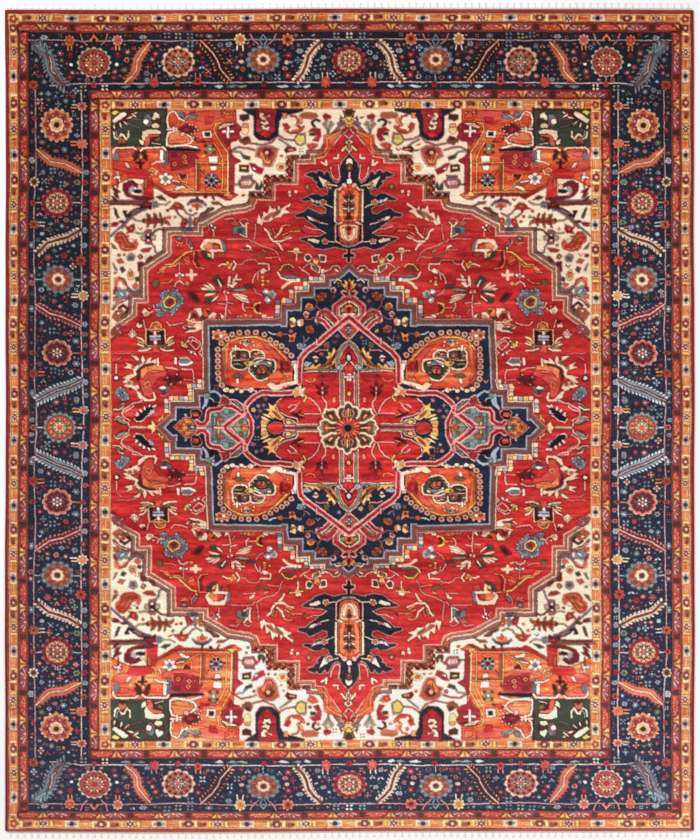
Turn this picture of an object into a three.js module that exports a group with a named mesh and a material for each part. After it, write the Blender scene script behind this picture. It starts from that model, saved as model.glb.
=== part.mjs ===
// Hand-knotted room rug, 2.46 m x 2.98 m over its fringes.
//
// Construction, from the floor up:
//   - a cotton ground weave (warps and wefts) that carries everything,
//   - wool pile knotted on that ground, made zone by zone: edge band, outer guard,
//     outer stripe, main border, inner stripe, inner guard, corner pieces,
//     spandrels, field ground, pendants and medallion,
//   - a selvedge along each long side: warp cords inside a wool overcast wrap,
//   - a flat-woven kilim strip, a row of end knots and a cut fringe at each end.
//
// Millimetres, +Z up, +Y towards the head end, origin under the middle of the rug.

import * as THREE from 'three';

// ---------------------------------------------------------------- dimensions
const SQUARE = 3.565;            // one square of the weaver's cartoon
const MID_U = 349.75;            // cartoon square at the middle of the width
const MID_V = 420.4;             // cartoon square at the middle of the length

// woven body, outer edges, in cartoon squares (U across, V from head to foot)
const BODY_LEFT = 5.0;
const BODY_RIGHT = 694.5;
const BODY_HEAD = 9.3;
const BODY_FOOT = 831.5;

// inner edge of each band, working inwards from the selvedge or the kilim end
const LEFT_LINES = [7.2, 9.1, 18.6, 28.2, 89.2, 99.6, 111.0];
const RIGHT_LINES = [692.3, 690.5, 681.0, 671.6, 611.0, 601.0, 590.5];
const HEAD_LINES = [9.3, 13.5, 22.6, 32.0, 89.5, 99.2, 110.0];
const FOOT_LINES = [831.5, 828.4, 819.0, 811.3, 758.6, 749.2, 739.5];

const GAP = 0.3;                 // clearance between neighbouring solids
const GROUND_T = 3.0;            // ground weave thickness
const PILE_BASE = GROUND_T + GAP;
const PILE_TOP = 11.0;           // top of the clipped pile above the floor

const CORD_R = 1.6;              // selvedge warp cord radius
const WRAP_W = 7.8;              // overcast wrap width
const WRAP_H = 6.6;              // overcast wrap height
const WRAP_BORE_R = CORD_R + GAP;

const KILIM_DEPTH = 6.0;         // flat-woven strip at each end
const KILIM_T = 2.6;
const KNOT_DEPTH = 3.4;          // row of end knots
const KNOT_T = 3.0;
const TASSEL_LENGTH = 15.0;      // free length of the cut fringe
const TASSEL_T = 2.4;
const TASSEL_COUNT = 98;
const HEADER_DEPTH = 1.8;        // where the bundles leave the knots

// ---------------------------------------------------------------- materials
function wool(hex, roughness = 0.95) {
  return new THREE.MeshStandardMaterial({ color: hex, roughness, metalness: 0 });
}
const EDGE_RED = 0x8f2a30;
const GUARD_GOLD = 0xd49a52;
const STRIPE_RED = 0xa63030;
const BORDER_NAVY = 0x1d2338;
const FIELD_RED = 0xb8232d;
const IVORY = 0xe9ddc0;
const CORNER_ORANGE = 0xcf5233;
const COTTON = 0xeee9de;

// ---------------------------------------------------------------- helpers
const group = new THREE.Group();

const mmX = (u) => (u - MID_U) * SQUARE;
const mmY = (v) => (MID_V - v) * SQUARE;

function signedArea(pts) {
  let a = 0;
  for (let i = 0; i < pts.length; i++) {
    const p = pts[i], q = pts[(i + 1) % pts.length];
    a += p[0] * q[1] - q[0] * p[1];
  }
  return a / 2;
}

// parallel offset of a closed outline towards its inside
function inset(points, d) {
  const pts = signedArea(points) < 0 ? points.slice().reverse() : points.slice();
  const n = pts.length;
  const out = [];
  for (let i = 0; i < n; i++) {
    const a = pts[(i + n - 1) % n], b = pts[i], c = pts[(i + 1) % n];
    const e1 = [b[0] - a[0], b[1] - a[1]], e2 = [c[0] - b[0], c[1] - b[1]];
    const l1 = Math.hypot(...e1), l2 = Math.hypot(...e2);
    const n1 = [-e1[1] / l1, e1[0] / l1], n2 = [-e2[1] / l2, e2[0] / l2];
    const k = 1 + n1[0] * n2[0] + n1[1] * n2[1];
    out.push([b[0] + d * (n1[0] + n2[0]) / k, b[1] + d * (n1[1] + n2[1]) / k]);
  }
  return out;
}

// upright prism from an outline in millimetres
function prism(name, outline, z0, z1, material) {
  const shape = new THREE.Shape(outline.map(([x, y]) => new THREE.Vector2(x, y)));
  const geometry = new THREE.ExtrudeGeometry(shape, { depth: z1 - z0, bevelEnabled: false });
  const mesh = new THREE.Mesh(geometry, material);
  mesh.name = name;
  mesh.position.z = z0;
  group.add(mesh);
  return mesh;
}

// a pile zone whose outline is given in cartoon squares
function pileZone(name, squares, material) {
  const outline = squares.map(([u, v]) => [mmX(u), mmY(v)]);
  return prism(name, inset(outline, GAP / 2), PILE_BASE, PILE_TOP, material);
}

function pileStrip(name, u0, u1, v0, v1, material) {
  return pileZone(name, [[u0, v0], [u1, v0], [u1, v1], [u0, v1]], material);
}

// ---------------------------------------------------------------- ground weave
prism('ground_weave', [
  [mmX(LEFT_LINES[0]) + GAP, mmY(BODY_FOOT)], [mmX(RIGHT_LINES[0]) - GAP, mmY(BODY_FOOT)],
  [mmX(RIGHT_LINES[0]) - GAP, mmY(BODY_HEAD)], [mmX(LEFT_LINES[0]) + GAP, mmY(BODY_HEAD)],
], 0, GROUND_T, wool(COTTON));

// ---------------------------------------------------------------- border bands
// Each band is knotted as a head run, a foot run and two side runs.
const BANDS = [
  ['edge_band', EDGE_RED],
  ['outer_guard', GUARD_GOLD],
  ['outer_stripe', STRIPE_RED],
  ['main_border', BORDER_NAVY],
  ['inner_stripe', STRIPE_RED],
  ['inner_guard', GUARD_GOLD],
];
BANDS.forEach(([name, colour], i) => {
  const l0 = LEFT_LINES[i], l1 = LEFT_LINES[i + 1];
  const r0 = RIGHT_LINES[i], r1 = RIGHT_LINES[i + 1];
  const h0 = HEAD_LINES[i], h1 = HEAD_LINES[i + 1];
  const f0 = FOOT_LINES[i], f1 = FOOT_LINES[i + 1];
  pileStrip(`${name}_head`, l0, r0, h0, h1, wool(colour));
  pileStrip(`${name}_foot`, l0, r0, f1, f0, wool(colour));
  pileStrip(`${name}_left`, l0, l1, h1, f1, wool(colour));
  pileStrip(`${name}_right`, r1, r0, h1, f1, wool(colour));
});

// ---------------------------------------------------------------- field zones
// The cartoon is drawn for the head-left quarter. The loom turns it over for the
// other three, and a hand-woven rug drifts a little each time, so the squares of
// the mirrored quarters come from these two tables.
function table(x, xs, ys) {
  if (x <= xs[0]) return ys[0];
  for (let i = 1; i < xs.length; i++) {
    if (x <= xs[i]) return ys[i - 1] + (ys[i] - ys[i - 1]) * (x - xs[i - 1]) / (xs[i] - xs[i - 1]);
  }
  return ys[ys.length - 1];
}
const AXIS_U = 349.0;
const AXIS_V = 427.5;
const toRight = (u) => table(u,
  [111.0, 137.0, 148.0, 172.0, 203.0, 257.0, 298.0, 349.0],
  [590.5, 563.0, 551.7, 527.6, 495.3, 441.0, 400.2, 349.0]);
const toFoot = (v) => table(v,
  [110.0, 127.0, 155.0, 164.0, 184.5, 200.5, 236.5, 262.0, 270.0, 287.0, 297.0, 309.0, 325.5, 390.0, 402.0, 427.5],
  [739.5, 722.0, 689.0, 680.0, 660.0, 644.0, 608.0, 580.0, 573.0, 561.0, 551.0, 540.0, 525.5, 466.0, 455.0, 427.5]);

function quarter([u, v], q) {
  return [q.includes('right') ? toRight(u) : u, q.includes('foot') ? toFoot(v) : v];
}
const QUARTERS = ['head_left', 'head_right', 'foot_left', 'foot_right'];

// corner piece against spandrel, from the inner guard at the head round to the side
const CORNER_LINE = [
  [236, 110], [236, 122], [241, 128], [236, 140], [230, 142], [231, 156], [240, 161], [233, 165],
  [233, 193], [238, 195], [230, 200], [218, 194], [180, 195], [174, 199], [153, 187], [151, 178],
  [128, 178], [111, 187],
];
// spandrel against red field, from the pendant's apex round to the side
const SPANDREL_LINE = [
  [349, 127], [342, 135], [330, 150], [325, 157], [315, 159], [315, 164], [298, 164], [298, 184.5],
  [275.5, 184.5], [275.5, 200.5], [257.5, 200.5], [254, 209], [247, 212], [226, 215], [203, 228],
  [203, 236.5], [171.5, 236.5], [171.5, 255], [148, 271], [148, 303], [137, 303], [137, 316],
  [118, 329], [123, 334], [111, 338],
];
// pendant, from its point to the foot that stands on the medallion
const PENDANT_LINE = [
  [349, 150], [338, 164], [338, 176], [326, 168], [303, 172], [296, 200], [294, 214], [296, 238],
  [316, 250], [349, 250],
];
// stepped outline of the medallion, from its point to its side tip
const MEDALLION_LINE = [
  [349, 262], [337, 273], [324, 275], [324, 282], [308, 282], [308, 291], [295, 291], [295, 304],
  [281, 304], [281, 318.5], [203, 320], [203, 390], [193, 390], [193, 402], [169, 402], [169, 414],
  [155, 427.5],
];

for (const q of QUARTERS) {
  const map = (line) => line.map((p) => quarter(p, q));
  pileZone(`corner_${q}`, map([[111, 110], ...CORNER_LINE]), wool(CORNER_ORANGE));
  pileZone(`spandrel_${q}`,
    map([...SPANDREL_LINE, ...CORNER_LINE.slice().reverse(), [AXIS_U, 110]]), wool(IVORY));
  pileZone(`field_ground_${q}`,
    map([...PENDANT_LINE, ...MEDALLION_LINE, [111, AXIS_V], ...SPANDREL_LINE.slice().reverse()]),
    wool(FIELD_RED));
}

function bothSides(line, end) {
  const left = line.map((p) => quarter(p, `${end}_left`));
  const right = line.map((p) => quarter(p, `${end}_right`)).reverse();
  return [...left, ...right].filter((p, i, all) => {
    const b = all[(i + all.length - 1) % all.length];
    return Math.hypot(p[0] - b[0], p[1] - b[1]) > 1e-6;
  });
}
pileZone('pendant_head', bothSides(PENDANT_LINE, 'head'), wool(BORDER_NAVY));
pileZone('pendant_foot', bothSides(PENDANT_LINE, 'foot'), wool(BORDER_NAVY));

const medallionRing = [
  ...MEDALLION_LINE.map((p) => quarter(p, 'head_left')),
  ...MEDALLION_LINE.slice(0, -1).reverse().map((p) => quarter(p, 'foot_left')),
  ...MEDALLION_LINE.slice(1).map((p) => quarter(p, 'foot_right')),
  ...MEDALLION_LINE.slice(1, -1).reverse().map((p) => quarter(p, 'head_right')),
];
pileZone('medallion', medallionRing, wool(BORDER_NAVY));

// ---------------------------------------------------------------- selvedges
// An oval wool wrap runs the whole length with the warp cord inside it.
function selvedge(side, edgeU, inward) {
  const length = (BODY_FOOT - BODY_HEAD) * SQUARE;
  const x = mmX(edgeU) + inward * WRAP_W / 2;
  const oval = new THREE.Shape();
  for (let i = 0; i < 20; i++) {
    const t = (i / 20) * 2 * Math.PI;
    const px = (WRAP_W / 2) * Math.cos(t), py = (WRAP_H / 2) * Math.sin(t);
    if (i === 0) oval.moveTo(px, py); else oval.lineTo(px, py);
  }
  const bore = new THREE.Path();
  for (let i = 0; i < 12; i++) {
    const t = -(i / 12) * 2 * Math.PI;
    const px = WRAP_BORE_R * Math.cos(t), py = WRAP_BORE_R * Math.sin(t);
    if (i === 0) bore.moveTo(px, py); else bore.lineTo(px, py);
  }
  oval.holes.push(bore);
  const wrap = new THREE.Mesh(
    new THREE.ExtrudeGeometry(oval, { depth: length, bevelEnabled: false }), wool(EDGE_RED));
  wrap.name = `selvedge_wrap_${side}`;
  const cord = new THREE.Mesh(
    new THREE.CylinderGeometry(CORD_R, CORD_R, length, 12), wool(COTTON));
  cord.name = `selvedge_cord_${side}`;
  cord.rotation.x = Math.PI / 2;
  cord.position.z = length / 2;
  cord.rotation.x = Math.PI / 2;
  const assembly = new THREE.Group();
  assembly.add(wrap, cord);
  // lay the run along the rug: extrusion +Z becomes -Y, from the head end
  assembly.rotation.x = Math.PI / 2;
  assembly.position.set(x, mmY(BODY_HEAD), WRAP_H / 2);
  group.add(assembly);
}
selvedge('left', BODY_LEFT, 1);
selvedge('right', BODY_RIGHT, -1);

// ---------------------------------------------------------------- end finishes
function endFinish(end) {
  const s = end === 'head' ? 1 : -1;
  const y0 = s * mmY(end === 'head' ? BODY_HEAD : BODY_FOOT) ;
  const x0 = mmX(LEFT_LINES[0]) + GAP, x1 = mmX(RIGHT_LINES[0]) - GAP;
  const at = (d) => s * (y0 + d);
  const orient = (pts) => (signedArea(pts) < 0 ? pts.slice().reverse() : pts);

  // flat-woven strip
  prism(`kilim_end_${end}`, orient([
    [x0, at(GAP)], [x1, at(GAP)], [x1, at(KILIM_DEPTH)], [x0, at(KILIM_DEPTH)],
  ]), 0, KILIM_T, wool(COTTON));

  // row of end knots: a scalloped strip, one knot per warp bundle
  const k0 = KILIM_DEPTH + GAP, k1 = k0 + KNOT_DEPTH;
  const pitch = (x1 - x0) / TASSEL_COUNT;
  const knots = [[x0, at(k0)]];
  const back = [];
  for (let i = 0; i < TASSEL_COUNT; i++) {
    const a = x0 + i * pitch;
    back.push([a, at(k1 - 0.9)], [a + pitch * 0.2, at(k1)], [a + pitch * 0.8, at(k1)]);
  }
  back.push([x1, at(k1 - 0.9)], [x1, at(k0)]);
  prism(`end_knots_${end}`, orient([...knots, ...back]), 0, KNOT_T, wool(COTTON));

  // cut fringe: one comb of warp bundles
  const f0 = k1 + GAP, f1 = f0 + HEADER_DEPTH, f2 = f0 + TASSEL_LENGTH;
  const comb = [[x0, at(f0)], [x0, at(f1)]];
  for (let i = 0; i < TASSEL_COUNT; i++) {
    const a = x0 + (i + 0.22) * pitch, b = x0 + (i + 0.78) * pitch;
    comb.push([a, at(f1)], [a + 0.6, at(f2)], [b - 0.6, at(f2)], [b, at(f1)]);
  }
  comb.push([x1, at(f1)], [x1, at(f0)]);
  prism(`fringe_${end}`, orient(comb), 0, TASSEL_T, wool(COTTON));
  return at(k1 + GAP / 2);
}
endFinish('head');
endFinish('foot');

export default group;
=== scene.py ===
"""Hand-knotted area rug: pile, ground weave, selvedges, flat-woven ends, warp knots and fringe."""
import math

import bpy
import numpy as np
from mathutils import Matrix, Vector


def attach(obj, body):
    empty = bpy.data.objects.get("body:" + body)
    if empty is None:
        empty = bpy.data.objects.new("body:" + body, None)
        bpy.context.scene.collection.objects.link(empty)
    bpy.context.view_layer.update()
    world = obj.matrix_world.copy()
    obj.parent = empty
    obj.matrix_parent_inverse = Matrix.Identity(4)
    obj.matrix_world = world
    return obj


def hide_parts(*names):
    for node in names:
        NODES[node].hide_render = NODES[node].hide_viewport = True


# ------------------------------------------------------------------ the loom
# The weaver's cartoon is counted in squares of 3.565 mm, U across and V from the head
# end to the foot end. Knots sit on a grid of about 2.54 mm.
SQ = 0.003565
MID_U, MID_V = 349.75, 420.4
U0, U1, V0, V1 = 7.2, 692.3, 9.3, 831.5
NX, NY = 962, 1154
DU, DV = (U1 - U0) / (NX - 1), (V1 - V0) / (NY - 1)

DYES = {
    'R': (178, 38, 38), 'r': (150, 32, 32), 'D': (144, 46, 42), 'c': (146, 33, 42), 'm': (100, 27, 34),
    'N': (24, 28, 40), 'n': (20, 18, 25), 'U': (26, 32, 50), 'z': (104, 144, 134), 'q': (182, 92, 72), 'V': (196, 146, 142), 'v': (224, 182, 174), 'B': (58, 70, 104), 'K': (38, 22, 22), 'k': (66, 34, 26),
    'I': (240, 213, 185), 'i': (230, 198, 168), 'P': (224, 160, 146), 'p': (198, 118, 106), 'w': (246, 230, 212),
    'O': (206, 82, 50), 'o': (222, 122, 80), 'S': (198, 66, 46), 'G': (230, 164, 96), 'g': (244, 198, 140), 'H': (206, 116, 60), 'h': (230, 142, 86),
    'y': (216, 178, 92), 'L': (152, 162, 172), 'l': (182, 184, 186), 'b': (110, 126, 132), 's': (98, 102, 108),
    'W': (128, 80, 74), 'X': (118, 62, 42), 'x': (162, 80, 52), 'E': (52, 58, 46), 'e': (100, 84, 50),
    'T': (128, 134, 108), 't': (84, 96, 92), 'M': (134, 78, 84), 'Q': (196, 72, 60),
}
DYE = {k: np.array(v, dtype=np.float64) / 255.0 for k, v in DYES.items()}


def ramp(x, xs, ys):
    return float(np.interp(x, xs, ys))


def to_right(u):
    if u > 349.0:
        return 698.0 - u
    return ramp(u, (105, 111, 137, 148, 172, 203, 257, 298, 349), (596.5, 590.5, 563, 551.7, 527.6, 495.3, 441, 400.2, 349))


def to_foot(v):
    if v > 427.5:
        return 855.0 - v
    return ramp(v, (104, 110, 127, 155, 164, 184.5, 200.5, 236.5, 262, 270, 287, 297, 309, 325.5, 390, 402, 427.5),
                (745.5, 739.5, 722, 689, 680, 660, 644, 608, 580, 573, 561, 551, 540, 525.5, 466, 455, 427.5))


def quarter(u, v, q):
    # q: 0 head-left, 1 head-right, 2 foot-left, 3 foot-right; each turn over drifts a little
    x, y = u, v
    if q in (1, 3):
        x = to_right(u)
        if 205 > u > 150 and v > 385:
            x += 2.0
        if q == 1 and u < 165 and 285 < v < 320:
            y = v - 2.5
    if q in (2, 3):
        y = to_foot(v)
    if q == 2:
        x = u + ramp(u, (111, 150, 175, 205, 230, 260, 300, 345), (0.6, 4, 4.4, 5, 4, 2.2, 1.6, 0)) * \
            ramp(v, (110, 165, 320, 330, 390, 427), (0.8, 1.0, 1.0, 0.75, 0.5, 0.0)) * \
            (1.0 if v < 318 else ramp(u, (205, 265), (1.0, 0.1)))
    return x, y


class Loom:
    def __init__(self, seed=7):
        rng = np.random.default_rng(seed)
        u = U0 + np.arange(NX) * DU
        v = V0 + np.arange(NY) * DV
        self.U, self.V = np.meshgrid(u, v)

        def wave(n, amp, t, lo, hi):
            out = np.zeros_like(t)
            for _ in range(n):
                w = rng.uniform(lo, hi)
                out += np.sin(t / w * 2 * np.pi + rng.uniform(0, 7)) * rng.uniform(0.4, 1.0)
            return out * amp / n ** 0.5
        # the hand: rows and columns that are never quite straight
        self.U = self.U + wave(5, 0.42, self.V, 60, 320) + wave(3, 0.16, self.V, 12, 30)
        self.V = self.V + wave(5, 0.42, self.U, 60, 320) + wave(3, 0.16, self.U, 12, 30)
        # no two knots fall exactly where the cartoon puts them
        for axis in ('U', 'V'):
            g = rng.standard_normal((NY, NX))
            g = (g + np.roll(g, 1, 0) + np.roll(g, 1, 1) + np.roll(g, (1, 1), (0, 1))) / 2
            setattr(self, axis, getattr(self, axis) + 0.17 * g)
        self.img = np.zeros((NY, NX, 3))
        self.img[:] = DYE['D']
        self.lot = np.full((NY, NX), ord('D'), dtype=np.uint8)      # which dye each knot is tied in
        self.rng = rng
        self.halo = 0.0
        self.halo_width = 0.85

    def window(self, x0, y0, x1, y1, pad=2.0):
        i0 = max(0, int((x0 - pad - U0) / DU)); i1 = min(NX, int((x1 + pad - U0) / DU) + 2)
        j0 = max(0, int((y0 - pad - V0) / DV)); j1 = min(NY, int((y1 + pad - V0) / DV) + 2)
        if i1 <= i0 or j1 <= j0:
            return None
        return slice(j0, j1), slice(i0, i1)

    @staticmethod
    def edge_distance(X, Y, pts, closed):
        d2 = np.full(X.shape, 1e9)
        n = len(pts)
        for i in range(n if closed else n - 1):
            ax, ay = pts[i]; bx, by = pts[(i + 1) % n]
            ex, ey = bx - ax, by - ay
            ll = ex * ex + ey * ey
            t = np.clip(((X - ax) * ex + (Y - ay) * ey) / ll, 0, 1) if ll > 1e-9 else 0.0
            dx, dy = X - ax - t * ex, Y - ay - t * ey
            np.minimum(d2, dx * dx + dy * dy, out=d2)
        return np.sqrt(d2)

    @staticmethod
    def inside(X, Y, pts):
        c = np.zeros(X.shape, dtype=bool)
        n = len(pts)
        for i in range(n):
            ax, ay = pts[i]; bx, by = pts[(i + 1) % n]
            if ay == by:
                continue
            m = ((ay > Y) != (by > Y)) & (X < (bx - ax) * (Y - ay) / (by - ay) + ax)
            c ^= m
        return c

    def put(self, w, alpha, dye):
        self.lot[w] = np.where(alpha > 0.5, ord(dye), self.lot[w])
        alpha = alpha[..., None]
        self.img[w] = self.img[w] * (1 - alpha) + DYE[dye] * alpha

    def shadow(self, w, s):
        # the thin darker outline a weaver puts round a figure
        a = np.clip(0.5 - (s - self.halo_width) / DU, 0, 1) * self.halo
        self.img[w] *= 1 - a[..., None] * np.array([0.72, 1.0, 1.0])

    def poly(self, pts, dye):
        xs = [p[0] for p in pts]; ys = [p[1] for p in pts]
        w = self.window(min(xs), min(ys), max(xs), max(ys))
        if w is None:
            return
        X, Y = self.U[w], self.V[w]
        d = self.edge_distance(X, Y, pts, True)
        s = np.where(self.inside(X, Y, pts), -d, d)
        if self.halo:
            self.shadow(w, s)
        self.put(w, np.clip(0.5 - s / DU, 0, 1), dye)

    def line(self, pts, width, dye, closed=False):
        xs = [p[0] for p in pts]; ys = [p[1] for p in pts]
        w = self.window(min(xs) - width, min(ys) - width, max(xs) + width, max(ys) + width)
        if w is None:
            return
        d = self.edge_distance(self.U[w], self.V[w], pts, closed)
        if self.halo and width < 2.6:
            self.shadow(w, d - width / 2)
        self.put(w, np.clip(0.5 - (d - width / 2) / DU, 0, 1), dye)

    @staticmethod
    def mitred_distance(X, Y, pts):
        best = np.full(X.shape, 1e9)
        n = len(pts)
        for i in range(n):
            ax, ay = pts[i]; bx, by = pts[(i + 1) % n]
            ex, ey = bx - ax, by - ay
            ll = ex * ex + ey * ey
            if ll < 1e-9:
                continue
            if abs(ex) < 0.12 * abs(ey) or abs(ey) < 0.12 * abs(ex):
                dx = np.maximum(np.maximum(min(ax, bx) - X, X - max(ax, bx)), 0)
                dy = np.maximum(np.maximum(min(ay, by) - Y, Y - max(ay, by)), 0)
                d = np.maximum(dx, dy)
                if abs(ex) < abs(ey):
                    d = np.maximum(d, np.abs(X - (ax + (Y - ay) * ex / ey)) * (dy <= 0))
                else:
                    d = np.maximum(d, np.abs(Y - (ay + (X - ax) * ey / ex)) * (dx <= 0))
            else:
                t = np.clip(((X - ax) * ex + (Y - ay) * ey) / ll, 0, 1)
                d = np.hypot(X - ax - t * ex, Y - ay - t * ey)
            np.minimum(best, d, out=best)
        return best

    def rings(self, pts, bands):
        # stripes that follow an outline on its inner side: [(depth, dye), ...]
        xs = [p[0] for p in pts]; ys = [p[1] for p in pts]
        w = self.window(min(xs), min(ys), max(xs), max(ys))
        X, Y = self.U[w], self.V[w]
        d = self.mitred_distance(X, Y, pts)
        s = np.where(self.inside(X, Y, pts), d, -d)
        lo = 0.0
        for depth, dye in bands:
            a = np.clip(0.5 + (s - lo) / DU, 0, 1) * np.clip(0.5 - (s - depth) / DU, 0, 1)
            self.put(w, a, dye)
            lo = depth

    # ---- turned copies
    def run(self, text, quarters=(0, 1, 2, 3), off=(0, 0)):
        for row in text.strip().splitlines():
            row = row.split('#')[0].split()
            if not row:
                continue
            kind = row[0]
            if kind == 'p':
                shapes = [('p', row[1], None, [tuple(map(float, s.split(','))) for s in row[2:]])]
            elif kind in ('l', 'c'):
                shapes = [(kind, row[1], float(row[2]), [tuple(map(float, s.split(','))) for s in row[3:]])]
            elif kind == 'e':
                n = list(map(float, row[2].split(','))) + [0.0] * 4
                shapes = [('p', row[1], None, ellipse(n[0], n[1], n[2], n[3] or n[2], n[4]))]
            elif kind == 't':                     # tapered petal: base, tip, width
                a = tuple(map(float, row[3].split(','))); b = tuple(map(float, row[4].split(',')))
                shapes = [('p', row[1], None, petal(a, b, float(row[2])))]
            elif kind == 's':                     # row of small squares: dyes, size, points
                shapes = []
                for k, s in enumerate(row[3:]):
                    x, y = map(float, s.split(','))
                    h = float(row[2]) / 2
                    shapes.append(('p', row[1][k % len(row[1])], None, [(x - h, y - h), (x + h, y - h), (x + h, y + h), (x - h, y + h)]))
            else:
                raise ValueError(kind)
            for kd, dye, wd, pts in shapes:
                for q in quarters:
                    mp = [quarter(x + off[0], y + off[1], q) for x, y in pts]
                    if kd == 'p':
                        self.poly(mp, dye)
                    else:
                        self.line(mp, wd, dye, kd == 'c')


def ellipse(cx, cy, rx, ry, deg=0.0, n=14):
    t = np.linspace(0, 2 * np.pi, n, endpoint=False)
    a = np.radians(deg)
    x, y = rx * np.cos(t), ry * np.sin(t)
    return [(cx + px * np.cos(a) - py * np.sin(a), cy + px * np.sin(a) + py * np.cos(a)) for px, py in zip(x, y)]


def petal(a, b, w):
    ax, ay = a; bx, by = b
    dx, dy = bx - ax, by - ay
    ln = max(1e-6, (dx * dx + dy * dy) ** 0.5)
    nx, ny = -dy / ln * w / 2, dx / ln * w / 2
    m = lambda t, k: (ax + dx * t + nx * k, ay + dy * t + ny * k)
    return [a, m(0.3, 0.8), m(0.6, 1.0), m(0.85, 0.6), b, m(0.85, -0.6), m(0.6, -1.0), m(0.3, -0.8)]
LEFT_LINES = (7.2, 9.1, 18.6, 28.2, 89.2, 99.6, 111.0)
RIGHT_LINES = (692.3, 690.5, 681.0, 671.6, 611.0, 601.0, 590.5)
HEAD_LINES = (9.3, 13.5, 22.6, 32.0, 89.5, 99.2, 110.0)
FOOT_LINES = (831.5, 828.4, 819.0, 811.3, 758.6, 749.2, 739.5)


def border_place(u, v, q):
    x, y = u, v
    if q in (1, 3):
        x = ramp(u, (0, 7.2, 9.1, 18.6, 28.2, 89.2, 99.6, 111, 178, 263, 349, 449), (699.5, 692.3, 690.5, 681, 671.6, 611, 601, 590.5, 520.5, 435.5, 349, 249))
    if q in (2, 3):
        y = ramp(v, (0, 9.3, 13.5, 22.6, 32, 89.5, 99.2, 110, 125, 203, 279.5, 353, 427.5, 527.5),
                 (840, 831.5, 828.4, 819, 811.3, 758.6, 749.2, 739.5, 729.5, 652, 575.5, 502, 427.5, 327.5))
    return x, y


def scallop(cx, cy, rx, ry, n, dip=0.14, turn=0.0):
    t = np.linspace(0, 2 * np.pi, n * 6, endpoint=False)
    k = 1 - dip + dip * np.abs(np.cos(n * t / 2 + turn))
    return [(cx + rx * c * np.cos(a), cy + ry * c * np.sin(a)) for a, c in zip(t, k)]


def star(cx, cy, rx, ry, n, inner=0.5, turn=0.0):
    out = []
    for i in range(2 * n):
        a = np.pi * i / n + turn
        k = 1.0 if i % 2 == 0 else inner
        out.append((cx + rx * k * np.cos(a), cy + ry * k * np.sin(a)))
    return out


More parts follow.
